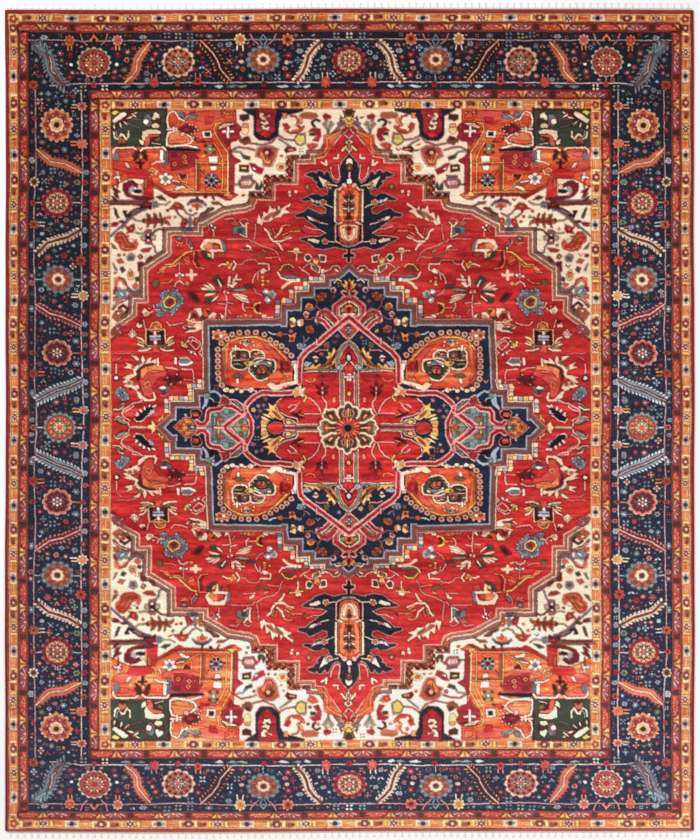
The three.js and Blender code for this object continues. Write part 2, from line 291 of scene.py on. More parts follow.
class Weaver:
    def __init__(self, loom):
        self.m = loom

    # one shape drawn in all the asked-for turned copies
    def shape(self, pts, dye, qs, place, width=None, closed=False):
        for q in qs:
            mp = [place(x, y, q) for x, y in pts]
            if width is None:
                self.m.poly(mp, dye)
            else:
                self.m.line(mp, width, dye, closed)

    def rosette(self, cx, cy, layers, qs=(0, 1, 2, 3), place=border_place):
        for kind, rx, ry, n, dye in layers:
            if kind == 'o':
                pts = ellipse(cx, cy, rx, ry, 0, 20)
            elif kind == 's':
                pts = scallop(cx, cy, rx, ry, n)
            elif kind == '*':
                pts = star(cx, cy, rx, ry, n)
            elif kind == 'x':
                pts = star(cx, cy, rx, ry, n, 0.45, np.pi / n)
            elif kind == '.':             # ring of dots
                for i in range(n):
                    a = 2 * np.pi * (i + 0.5) / n
                    self.shape(ellipse(cx + rx * np.cos(a), cy + ry * np.sin(a), 1.25, 1.25, 0, 8), dye, qs, place)
                continue
            elif kind == 'd':             # ring of pointed dark petals
                for i in range(n):
                    a = 2 * np.pi * i / n
                    p0 = (cx + rx * 0.62 * np.cos(a), cy + ry * 0.62 * np.sin(a))
                    p1 = (cx + rx * np.cos(a), cy + ry * np.sin(a))
                    self.shape(petal(p0, p1, 3.0), dye, qs, place)
                continue
            self.shape(pts, dye, qs, place)

    def leaf(self, pts, width, body, rib=None, tooth=None, step=4.0, reach=3.5, ribw=1.3, qs=(0, 1, 2, 3), place=border_place, core=None):
        P = np.array(pts, dtype=float)
        seg = np.hypot(*np.diff(P, axis=0).T)
        run = np.concatenate([[0], np.cumsum(seg)])
        total = run[-1]

        def at(s):
            x = np.interp(s, run, P[:, 0]); y = np.interp(s, run, P[:, 1])
            x2 = np.interp(min(total, s + 1.5), run, P[:, 0]); y2 = np.interp(min(total, s + 1.5), run, P[:, 1])
            x1 = np.interp(max(0, s - 1.5), run, P[:, 0]); y1 = np.interp(max(0, s - 1.5), run, P[:, 1])
            d = np.array([x2 - x1, y2 - y1]); d /= max(1e-6, np.hypot(*d))
            return np.array([x, y]), d
        # teeth first, body over them
        if tooth:
            s = step * 0.4
            while s < total:
                p, d = at(s)
                nrm = np.array([-d[1], d[0]])
                half = width / 2 * (1 - 0.25 * abs(2 * s / total - 1) ** 2)
                for k in (-1, 1):
                    a = p + nrm * k * half * 0.15
                    b = p + nrm * k * (half + reach * 0.35) + d * reach * 0.9
                    self.shape(petal(tuple(a), tuple(b), 2.7), tooth, qs, place)
                    if core:
                        self.shape([tuple(a), tuple(a * 0.25 + b * 0.75)], core, qs, place, width=1.2)
                s += step
        left, right = [], []
        for s in np.linspace(0, total, 12):
            p, d = at(s)
            nrm = np.array([-d[1], d[0]])
            half = width / 2 * 0.72 * (1 - abs(2 * s / total - 1) ** 5)
            left.append(tuple(p + nrm * half)); right.append(tuple(p - nrm * half))
        self.shape(left + right[::-1], body, qs, place)
        if rib:
            self.shape([tuple(p) for p in P], rib, qs, place, width=ribw)

    # ------------------------------------------------------------- narrow bands
    def strip_place(self, side, lo):
        if side == 'head':
            return lambda a, b, q=0: (a, lo + b)
        if side == 'foot':
            return lambda a, b, q=0: (a, lo - b)
        if side == 'left':
            return lambda a, b, q=0: (lo + b, a)
        return lambda a, b, q=0: (lo - b, a)

    def guard_unit(self, side, lo, wide, at, scale, a0, a1, turn=1):
        pl = self.strip_place(side, lo)
        k = wide / 9.0

        def S(pts, dye, width=None):
            pts = [(min(a1, max(a0, at + turn * x * scale)), y * k) for x, y in pts]
            if max(p[0] for p in pts) - min(p[0] for p in pts) > 0.2:
                self.shape(pts, dye, (0,), pl, width)
        S([(-8, 1.2), (8, 1.2), (6.5, 4.5), (8, 7.8), (-8, 7.8), (-6.5, 4.5)], 'g')
        S([(-6, 1.6), (6, 1.6), (7.2, 4.5), (6, 7.4), (-6, 7.4), (-7.2, 4.5)], 'i')
        S(star(0, 4.5, 4.6, 3.2, 6, 0.6), 'L')
        S(ellipse(0, 4.5, 2.3, 2.0), 'n')
        for x in (-4.2, 4.2):
            S(ellipse(x, 4.5, 1.0, 1.3, 0, 8), 'b')
        for x0, x1, dye in ((-18, -8.4, 'H'), (8.4, 22, 'h'), (36, 40, 'H'), (47.5, 51, 'h'), (64.6, 68, 'H')):
            S([(x0, 1.4), (x1, 1.4), (x1, 7.6), (x0, 7.6)], dye)
        for x0, x1, y0, dye in ((-17, -9, 2.2, 'G'), (-18, -11, 4.6, 'O'), (9, 17, 2.4, 'o'), (10, 21, 4.4, 'G'), (9, 19, 6.4, 'H'), (15, 22, 2.6, 'G')):
            S([(x0, y0), (x1, y0), (x1, y0 + 0.9), (x0, y0 + 0.9)], dye)
        S([(20, 1.5), (23, 1.5), (21.6, 4.5), (23, 7.5), (20, 7.5)], 'g')
        S([(23.5, 2.0), (26, 3.4), (23.5, 5.2)], 'X'); S([(35.5, 2.0), (33, 3.4), (35.5, 5.2)], 'X')
        S(scallop(29.5, 4.5, 5.2, 3.6, 6, 0.25), 'X')
        S(scallop(29.5, 4.5, 4.2, 2.6, 5, 0.2), 'm')
        S(ellipse(29.5, 4.2, 1.8, 1.5), 'P')
        S([(35, 1.5), (38, 1.5), (38, 7.5), (35, 7.5)], 'g')
        S(ellipse(43, 4.0, 4.0, 2.6), 'x'); S(ellipse(41.4, 3.6, 2.4, 1.3), 'X'); S(ellipse(45.6, 4.0, 1.7, 1.2), 'k'); S(ellipse(43, 6.6, 3.0, 0.8), 'o')
        S([(49.5, 1.6), (52, 1.6), (51, 4.5), (52, 7.4), (49.5, 7.4)], 'y')
        S(ellipse(58.5, 4.5, 6.0, 3.7), 'h'); S(ellipse(58.5, 4.5, 4.7, 2.9), 'X')
        for i in range(8):
            a = np.pi / 4 * i + 0.4
            S(ellipse(58.5 + 4.7 * np.cos(a), 4.5 + 2.6 * np.sin(a), 1.0, 0.85, 0, 8), 'i')
        S(ellipse(58.5, 4.5, 1.2, 1.0, 0, 8), 'P')
        S([(66, 1.6), (69, 1.6), (68, 7.4), (65.5, 7.4)], 'y')
        S(ellipse(72.5, 4.2, 3.8, 2.7), 'x'); S(ellipse(73.4, 3.6, 1.8, 1.4), 'O'); S(ellipse(70.5, 5.8, 1.2, 1.0, 0, 8), 'e')

    def guard(self, side, lo, wide, stars, a0, a1, turn=1, unit=87.5):
        pl = self.strip_place(side, lo)
        k = wide / 9.0
        self.shape([(a0, 0.0), (a1, 0.0), (a1, wide), (a0, wide)], 'G', (0,), pl)
        for i, s in enumerate(stars):
            nxt = stars[i + turn] if 0 <= i + turn < len(stars) else None
            sc = abs(nxt - s) / 87.5 if nxt is not None else unit / 87.5
            self.guard_unit(side, lo, wide, s, sc, a0, a1, turn)
        for b in (0.55, 8.5):
            self.shape([(a0, b * k), (a1, b * k)], 'g', (0,), pl, width=0.9)
        for b in (0.0, 9.0):
            self.shape([(a0, b * k), (a1, b * k)], 'x', (0,), pl, width=0.5)

    def stripe(self, side, lo, wide, a0, a1, start, unit=58.0):
        pl = self.strip_place(side, lo)
        k = wide / 9.5

        def S(pts, dye, width=None):
            self.shape([(x, y * k) for x, y in pts], dye, (0,), pl, width)
        S([(a0, 0), (a1, 0), (a1, 9.5), (a0, 9.5)], 'c')
        s = start
        f = unit / 58.0
        while s > a0:
            s -= unit
        while s < a1 + unit:
            def A(x):
                return min(a1, max(a0, s + x * f))
            # gold wedge
            S([(A(-7), 1.2), (A(7), 1.2), (A(3), 5.0), (A(2), 7.8), (A(-2), 7.8), (A(-3), 5.0)], 'x')
            S([(A(-5.5), 1.6), (A(5.5), 1.6), (A(2.6), 4.6), (A(1.2), 7.2), (A(-1.2), 7.2), (A(-2.6), 4.6)], 'G')
            S([(A(-0.6), 2.0), (A(0.6), 2.0), (A(0.4), 6.5), (A(-0.4), 6.5)], 'X')
            # mauve fan
            for c, body, ray, mid in ((14.5, 'M', 'P', 'Q'), (43.5, 'Q', 'o', 'O')):
                S([(A(c - 11), 8), (A(c - 9), 4.4), (A(c - 4), 2.2), (A(c + 4), 2.2), (A(c + 9), 4.4), (A(c + 11), 8)], body)
                for x0, x1, y1 in ((-3.2, -9.5, 4.8), (-1.6, -5.2, 2.6), (0, 0, 2.4), (1.6, 5.2, 2.6), (3.2, 9.5, 4.8)):
                    if x0:
                        S([(A(c + x0), 7.4), (A(c + x1), y1)], ray, width=1.05)
                S([(A(c - 4.4), 8), (A(c - 2.6), 5.2), (A(c + 2.6), 5.2), (A(c + 4.4), 8)], mid)
                S([(A(c - 1.4), 7.4), (A(c), 4.2), (A(c + 1.4), 7.4)], ray)
            # dark gap between the fans
            S([(A(26.5), 0.8), (A(32.5), 0.8), (A(31), 8), (A(28), 8)], 'k')
            S([(A(28), 2.4), (A(31), 2.4), (A(30), 6), (A(29), 6)], 'k')
            s += unit
        S([(a0, 8.9), (a1, 8.9)], 'X', width=1.1)
        S([(a0, 0.3), (a1, 0.3)], 'm', width=0.9)
        S([(a0, 1.1), (a1, 1.1)], 'x', width=0.5)

    def fill(self, box, ground, dyes, pitch=6.8, need=3.0, seed=3, size=1.0, hold=None):
        # the small filling figures, put only where the ground is still bare
        m = self.m
        rng = np.random.default_rng(seed)
        x0, y0, x1, y1 = box
        gcol = [ord(g) for g in ground]
        n = 0
        ys = np.arange(y0, y1, pitch * 0.92)
        for r, y in enumerate(ys):
            for x in np.arange(x0 + (r % 2) * pitch / 2, x1, pitch):
                cx, cy = x + rng.uniform(-1.1, 1.1), y + rng.uniform(-1.1, 1.1)
                kind = rng.integers(0, 8); dye = dyes[rng.integers(0, len(dyes))]; dye2 = dyes[rng.integers(0, len(dyes))]
                if not (x0 < cx < x1 and y0 < cy < y1) or (hold and not hold(cx, cy)):
                    continue
                w = m.window(cx - need, cy - need, cx + need, cy + need, 0)
                if np.isin(m.lot[w], gcol, invert=True).mean() > 0.04:
                    continue
                s = size
                if kind in (0, 1):
                    m.poly(ellipse(cx, cy, 2.1 * s, 1.8 * s, 0, 9), dye)
                    m.poly(ellipse(cx, cy, 0.8 * s, 0.7 * s, 0, 6), dye2)
                elif kind == 2:
                    for dx in (-1.5, 1.5):
                        for dy in (-1.4, 1.4):
                            m.poly(ellipse(cx + dx * s, cy + dy * s, 1.05 * s, 1.0 * s, 0, 7), dye)
                elif kind == 3:
                    m.poly(star(cx, cy, 2.9 * s, 2.7 * s, 4, 0.45), dye)
                    m.poly(ellipse(cx, cy, 0.8 * s, 0.8 * s, 0, 6), dye2)
                elif kind == 4:
                    m.poly(petal((cx - 2.6 * s, cy + 1.2 * s), (cx + 2.6 * s, cy - 1.2 * s), 2.4 * s), dye)
                elif kind == 5:
                    m.poly(scallop(cx, cy, 2.7 * s, 2.4 * s, 5, 0.3), dye)
                    m.poly(ellipse(cx, cy, 0.9 * s, 0.9 * s, 0, 6), dye2)
                elif kind == 6:
                    m.line([(cx - 2 * s, cy - 1 * s), (cx, cy + 1.2 * s), (cx + 2 * s, cy - 1 * s)], 1.3 * s, dye)
                else:
                    m.poly([(cx - 1.6 * s, cy - 1.5 * s), (cx + 1.6 * s, cy - 1.5 * s), (cx + 1.6 * s, cy + 1.5 * s), (cx - 1.6 * s, cy + 1.5 * s)], dye)
                    m.poly([(cx - 0.7 * s, cy - 0.7 * s), (cx + 0.7 * s, cy - 0.7 * s), (cx + 0.7 * s, cy + 0.7 * s), (cx - 0.7 * s, cy + 0.7 * s)], dye2)
                n += 1
        return n


    def scatter(self, box, ground, pitch, need, seed, size):
        # larger loose flowers of the navy ground: four-petalled, lozenge and lobed ones in paler wools
        m = self.m
        rng = np.random.default_rng(seed)
        x0, y0, x1, y1 = box
        gcol = [ord(g) for g in ground]
        pairs = ('lB', 'MP', 'pM', 'bl', 'Ls', 'TN', 'PQ', 'MX', 'Lb', 'Bl', 'cp', 'ln', 'sl', 'Mp', 'qP', 'bT', 'eT', 'cM')
        for r, y in enumerate(np.arange(y0, y1, pitch * 0.8)):
            for x in np.arange(x0 + (r % 3) * pitch / 3, x1, pitch):
                cx, cy = x + rng.uniform(-1.6, 1.6), y + rng.uniform(-1.6, 1.6)
                kind = rng.integers(0, 6); a, b = pairs[rng.integers(0, len(pairs))]
                if not (x0 < cx < x1 and y0 < cy < y1):
                    continue
                w = m.window(cx - need, cy - need, cx + need, cy + need, 0)
                if np.isin(m.lot[w], gcol, invert=True).mean() > 0.03:
                    continue
                s = size
                if kind == 0:
                    for dx, dy in ((-1, -1), (1, -1), (1, 1), (-1, 1)):
                        m.poly(petal((cx + dx * 0.5 * s, cy + dy * 0.5 * s), (cx + dx * 3.0 * s, cy + dy * 2.8 * s), 1.9 * s), a)
                    m.poly(ellipse(cx, cy, 0.9 * s, 0.9 * s, 0, 6), b)
                elif kind == 1:
                    m.poly(scallop(cx, cy, 3.0 * s, 2.6 * s, 6, 0.26), a)
                    m.poly(ellipse(cx, cy, 1.2 * s, 1.1 * s, 0, 8), b)
                elif kind == 2:
                    m.poly([(cx - 3.1 * s, cy), (cx, cy - 2.5 * s), (cx + 3.1 * s, cy), (cx, cy + 2.5 * s)], a)
                    m.poly(ellipse(cx, cy, 1.1 * s, 0.9 * s, 0, 6), b)
                elif kind == 3:
                    for dx, dy in ((0, -2.2), (2.2, 0), (0, 2.2), (-2.2, 0)):
                        m.poly(ellipse(cx + dx * s, cy + dy * s, 1.3 * s, 1.2 * s, 0, 7), a)
                    m.poly(ellipse(cx, cy, 1.0 * s, 1.0 * s, 0, 6), b)
                elif kind == 4:
                    m.poly(petal((cx - 3.2 * s, cy + 1.8 * s), (cx + 0.4 * s, cy - 1.4 * s), 2.0 * s), a)
                    m.poly(petal((cx + 3.2 * s, cy + 1.8 * s), (cx - 0.4 * s, cy - 1.4 * s), 2.0 * s), a)
                    m.poly(ellipse(cx, cy - 1.6 * s, 1.0 * s, 0.9 * s, 0, 6), b)
                else:
                    m.poly(star(cx, cy, 3.2 * s, 3.0 * s, 6, 0.55), a)
                    m.poly(ellipse(cx, cy, 1.2 * s, 1.1 * s, 0, 8), b)


def weave_borders(m):
    W = Weaver(m)
    L, R, H, F = LEFT_LINES, RIGHT_LINES, HEAD_LINES, FOOT_LINES

    def rect(i, dye):
        m.poly([(L[i], H[i]), (R[i], H[i]), (R[i], F[i]), (L[i], F[i])], dye)
    m.poly([(0, 0), (700, 0), (700, 840), (0, 840)], 'D')
    rect(1, 'G'); rect(2, 'c'); rect(3, 'N'); rect(4, 'c'); rect(5, 'G')
    m.halo = 0.2
    # outer guard
    sx = [-15.5, 72, 159, 247, 335]
    head = sx + [423, 510.5, 598, 685.5]
    W.guard('head', H[1], 9.1, head, L[1], R[1])
    W.guard('foot', F[1], 9.4, head, L[1], R[1])
    lv = [3, 76, 155, 228.5, 300, 370, 440, 505, 578, 651, 724, 797]
    W.guard('left', L[1], 9.5, lv, H[2], F[2], unit=73)
    W.guard('right', R[1], 9.5, lv, H[2], F[2], unit=73)
    # outer red stripe
    m.halo = 0.3
    W.stripe('head', H[2], 9.4, L[2], R[2], 43)
    W.stripe('foot', F[2], 7.7, L[2], R[2], 43)
    W.stripe('left', L[2], 9.6, H[3], F[3], 48, 56)
    W.stripe('right', R[2], 9.4, H[3], F[3], 48, 56)
    # inner red stripe
    W.stripe('head', H[4], 9.7, L[4], R[4], 117, 58)
    W.stripe('foot', F[4], 9.4, L[4], R[4], 117, 58)
    W.stripe('left', L[4], 10.4, H[5], F[5], 106, 57)
    W.stripe('right', R[4], 10.0, H[5], F[5], 106, 57)
    # inner guard
    m.halo = 0.2
    W.guard('head', H[5], 10.8, [77, 164, 252, 340, 428, 515, 603], L[5], R[5])
    W.guard('foot', F[5], 9.7, [77, 164, 252, 340, 428, 515, 603], L[5], R[5])
    liv = [80, 153, 225, 298, 369, 440, 512, 584, 656, 729]
    W.guard('left', L[5], 11.4, liv, H[6], F[6], unit=73)
    W.guard('right', R[5], 10.5, liv, H[6], F[6], unit=73)
    for q in range(4):                     # guard corners
        for cx, cy, r in ((14, 18.5, 5.2), (105.5, 104.8, 5.0)):
            def C(pts, dye):
                m.poly([border_place(x, y, q) for x, y in pts], dye)
            C([(cx - r, cy - r), (cx + r, cy - r), (cx + r, cy + r), (cx - r, cy + r)], 'G')
            C(scallop(cx, cy, r * 0.85, r * 0.85, 5, 0.3), 'X'); C(ellipse(cx, cy, r * 0.45, r * 0.45), 'O'); C(ellipse(cx, cy, r * 0.2, r * 0.2, 0, 6), 'g')

    m.halo = 0.42
    weave_main_border(m, W)
    return W


EYES = {'m': 'M', 'c': 'p', 'Q': 'c', 'R': 'k', 'P': 'c', 'p': 'm', 'L': 's', 'l': 'b', 'b': 'l', 'w': 'L', 'M': 'P', 'e': 'T', 'x': 'k', 'T': 'E', 's': 'L', 'O': 'y', 'K': 'x'}


def weave_main_border(m, W):
    L, R, H, F = LEFT_LINES, RIGHT_LINES, HEAD_LINES, FOOT_LINES
    A = (0, 1, 2, 3)

    def T(text):
        for row in text.strip().splitlines():
            r = row.split('#')[0].split()
            if not r:
                continue
            if r[0] == 'p':
                W.shape([tuple(map(float, s.split(','))) for s in r[2:]], r[1], A, border_place)
            elif r[0] == 'l':
                W.shape([tuple(map(float, s.split(','))) for s in r[3:]], r[1], A, border_place, width=float(r[2]))
            elif r[0] == 'e':
                n = list(map(float, r[2].split(',')))
                rx, ry = n[2], n[3] if len(n) > 3 else n[2]
                if min(rx, ry) < 2.1:
                    W.shape(ellipse(n[0], n[1], rx, ry, 0, 10), r[1], A, border_place)
                else:           # the rounder ones are small flowers with an eye
                    W.shape(scallop(n[0], n[1], rx * 1.06, ry * 1.06, 6, 0.3), r[1], A, border_place)
                    W.shape(ellipse(n[0], n[1], rx * 0.4, ry * 0.4, 0, 7), EYES.get(r[1], 'n'), A, border_place)
            elif r[0] == '*':
                n = list(map(float, r[2].split(',')))
                W.shape(star(n[0], n[1], n[2], n[3], int(n[4]), 0.5, n[5] if len(n) > 5 else 0.0), r[1], A, border_place)
            elif r[0] == 'S':
                n = list(map(float, r[2].split(',')))
                W.shape(scallop(n[0], n[1], n[2], n[3], int(n[4]), 0.3), r[1], A, border_place)
    # vines
    T('''
l V 1.0 28.5,40 60,40 80,40
l V 1.05 80,40.5 150,40 172,41 230,39.5 263,39.5 330,39.8 349,40
l v 1.1 50,86 66,84.5 80,83 130,83.2
l v 1.1 130,83.2 160,83 205,82.6 240,82.3 290,82 330,83 349,83
l V 1.05 35.5,90 35.5,160 34,200 34,260 35.5,330 34,380 36,427.5
l v 1.1 81.5,90 82,160 81.5,230 81.5,330 82,380 83,427.5
''')
    # the corner leaf and the leaves between rosettes
    W.leaf([(31, 42), (40, 47), (47, 54), (50, 62), (52, 71), (57, 79), (65, 86)], 13.5, 's', 'X', 'l', 4.0, 5.0, 1.3, core='b')
    T('''
p b 34,44 40,44 47,50 45,53 38,49
p z 47,50 51,50 52,53 48,54
l L 1.2 40,42 41,46
l L 1.2 45,43.6 44.6,48
l z 1.4 46.6,45 47.4,49.4
l X 1.5 47,54.6 50,59 51,70 56,74 57.4,79
l P 1.0 49.4,57 51.6,64 51.6,71 55.6,74
''')
    W.leaf([(150, 42), (142, 52), (137, 60), (136.4, 70), (132, 76), (125, 82)], 12.0, 'q', 'g', 'x', 4, 1.9, 1.1)
    W.leaf([(200, 40), (212, 52), (218, 62), (220, 68), (226, 75), (231, 81)], 11.0, 'K', 'P', 'k', 3.9, 4.2, 1.3, core='h')
    W.leaf([(322, 41), (314, 48), (308, 56), (306, 65), (303, 73), (296, 81)], 9.0, 'i', 'k', 'i', 3.8, 3.4, 1.9)
    W.leaf([(36, 149), (50, 162), (65, 164), (82, 173)], 12.0, 'q', 'g', 'x', 4, 1.9, 1.1)
    W.leaf([(82, 229), (68, 237), (58, 240), (48, 243), (36, 254)], 7.5, 'i', 'k', 'i', 4, 4, 1.9)
    W.leaf([(35, 304), (50, 314), (63, 317), (82, 326)], 7.5, 'm', 'P', 'p', 4, 4, 1.3)
    spine = [(84, 379), (70, 386), (55, 391), (35, 401)]
    W.leaf(spine, 10.5, 'b', None, 'l', 3.8, 4.8, 1.0)
    W.shape(spine, 'U', (0, 1, 2, 3), border_place, 2.4)
    W.shape(spine, 'V', (0, 1, 2, 3), border_place, 1.1)

    # rosettes
    green = [('s', 18, 16.5, 16, 'T'), ('s', 17.0, 15.6, 16, 'i'), ('s', 15.0, 13.7, 16, 't'), ('o', 14.0, 12.8, 0, 'x'), ('d', 13.6, 12.4, 16, 'Q'), ('*', 11.6, 10.6, 8, 'X'), ('*', 10.8, 9.9, 8, 'o'),
             ('.', 8.0, 7.3, 8, 'i'), ('*', 6.8, 6.2, 8, 'g'), ('*', 4.4, 4.0, 8, 'X'), ('o', 2.0, 1.8, 0, 'R')]
    pink = [('s', 17.4, 16.4, 12, 'P'), ('s', 16.2, 15.2, 12, 'i'), ('s', 13.8, 13.0, 12, 'x'), ('.', 12.2, 11.4, 12, 'K'), ('*', 11.0, 10.4, 4, 'i'), ('*', 9.2, 8.7, 8, 'T'), ('*', 7.2, 6.8, 8, 'k'),
            ('*', 6.4, 6.0, 8, 'i'), ('.', 3.8, 3.6, 4, 'T'), ('o', 1.8, 1.7, 0, 'Q')]
    slate = [('s', 17.6, 14.6, 14, 'b'), ('s', 15.4, 13.0, 14, 'l'), ('s', 14.0, 11.8, 14, 'b'), ('o', 12.6, 10.6, 0, 'x'), ('d', 12, 10.4, 8, 'X'),
             ('s', 7.6, 6.8, 8, 'g'), ('s', 6.4, 5.6, 8, 'i'), ('o', 3.0, 2.6, 0, 'X'), ('o', 1.7, 1.5, 0, 'k')]
    gold = [('s', 16.8, 17.6, 16, 'g'), ('s', 15.4, 16.2, 16, 'h'), ('.', 15.6, 16.4, 8, 'l'), ('s', 13.2, 13.8, 8, 'x'), ('*', 13.4, 14.0, 8, 'c'), ('.', 9.6, 10.0, 8, 'p'), ('s', 8.4, 8.8, 8, 'o'),
            ('s', 7.2, 7.5, 8, 'i'), ('o', 4.6, 4.8, 0, 'y'), ('o', 2.7, 2.8, 0, 'K')]
    lace = [('s', 17.6, 15.8, 14, 'P'), ('s', 16.4, 14.8, 14, 'c'), ('.', 14.4, 13.0, 14, 'm'), ('s', 12.6, 11.4, 14, 'g'), ('*', 12.6, 11.4, 14, 'x'), ('*', 10.8, 9.8, 10, 'i'),
            ('o', 7.6, 6.9, 0, 'X'), ('*', 8.2, 7.4, 8, 'g'), ('*', 6.4, 5.8, 6, 'T'), ('.', 4.4, 4.0, 6, 'i'), ('o', 2.6, 2.4, 0, 'Q')]
    brown = [(k, a * 0.95, b * 0.98, n, c) for k, a, b, n, c in lace]
    pinkv = [('s', 15.4, 13.8, 12, 'P'), ('s', 13.3, 12, 12, 'o'), ('s', 11.8, 10.6, 12, 'm'), ('d', 11.4, 10.2, 8, 'k'), ('*', 8.6, 7.8, 8, 'i'), ('*', 7.2, 6.6, 8, 'B'), ('.', 3.8, 3.4, 6, 'i'), ('o', 1.9, 1.7, 0, 'p')]
    green2 = [('s', 17.5, 15.8, 16, 'T'), ('s', 16.0, 14.4, 16, 'l'), ('s', 14.6, 13.0, 16, 't'), ('o', 12.9, 11.5, 0, 'x'), ('d', 12.4, 11.2, 12, 'O'), ('*', 9.6, 8.6, 8, 'i'), ('o', 6.8, 6.1, 0, 'T'), ('*', 6.6, 6.0, 8, 'g'), ('o', 2.6, 2.4, 0, 'S')]
    W.rosette(94, 62, green)
    W.rosette(178, 62, pink)
    W.rosette(263, 59.5, slate)
    W.rosette(349, 61, lace, qs=(0, 2))
    W.rosette(56.5, 125, gold)
    W.rosette(57, 203, brown)
    W.rosette(58, 279.5, [(k, a * 0.97, b * 1.02, n, c) for k, a, b, n, c in slate])
    W.rosette(57.3, 353, pinkv)
    W.rosette(59, 427.5, green2, qs=(0, 1))

    # flowers on the vines
    def bloom(cx, cy, r, petals, heart, ring=None, n=8):
        W.shape(scallop(cx, cy, r, r, n, 0.32), petals, A, border_place)
        if ring:
            W.shape(ellipse(cx, cy, r * 0.55, r * 0.55), ring, A, border_place)
        W.shape(ellipse(cx, cy, r * 0.34, r * 0.34, 0, 8), heart, A, border_place)
    T('''
l o 1.4 68,44 68,50
l o 1.4 71.5,44 71.5,50
e m 70,55,3.6,3.6
e c 70,53.5,1.6,1.4
e w 71,64.5,1.8,1.6
e m 117.5,55,3.6,3.6
e c 117.5,53.5,1.6,1.4
e w 116.5,64,1.8,1.6
l o 1.4 115.8,44 115.8,49.5
l o 1.4 119.3,44 119.3,49.5
l i 1.4 237.6,43 236.6,50
l i 1.4 242,43 243,50
e m 241,54.5,3.2,3.0
l p 1.3 151.6,80 151.6,74
l p 1.3 156.4,80 156.4,74
l p 1.3 195.6,78 195.6,73.5
l p 1.3 200.4,78 200.4,73.5
l i 1.3 322.6,80 322.6,73
l i 1.3 327.6,80 327.6,73
l l 1.3 78.5,104.6 72,104.6
l o 1.4 78.5,107.4 71,107.4
l o 1.4 78.5,141.6 71,141.6
l o 1.4 78.5,145 71,145
l l 1.3 38,222.5 44.5,222.5
l l 1.3 38,226 44.5,226
l i 1.4 79,294 72,294
l i 1.4 79,297 71,297
l o 1.5 79,408.6 71.5,408.6
l g 1.4 79,411.6 71.5,411.6
l o 1.5 38,372 44,372
l x 1.5 38,375.5 44,375.5
''')
    bloom(69.5, 40, 5.6, 'o', 'O', 'x')
    bloom(117.5, 39.5, 5.6, 'P', 'S', 'p')
    bloom(240, 39, 6.2, 'g', 'O', 'y')
    bloom(287.5, 39.5, 6.6, 'o', 'k', 'O')
    bloom(33.5, 85, 5.2, 'S', 'k', 'O')
    bloom(154.5, 82.5, 5.2, 'Q', 'R', 'o')
    bloom(198, 81.3, 4.2, 'S', 'k', None)
    bloom(326, 82.5, 5.6, 'Q', 'O', 'o')
    bloom(82, 106, 5.0, 'P', 'c', 'o')
    bloom(82, 143.5, 5.6, 'o', 'Q', 'P')
    bloom(33.5, 182, 5.2, 'i', 'k', 'e')
    bloom(34, 224.5, 5.2, 'x', 'k', 'o')
    bloom(81, 260.5, 5.6, 'S', 'k', 'O')
    bloom(83, 295.5, 5.6, 'i', 'o', 'y')
    bloom(33, 373.5, 4.6, 'x', 'm', 'S')
    bloom(83, 410, 5.0, 'l', 'O', 'o')
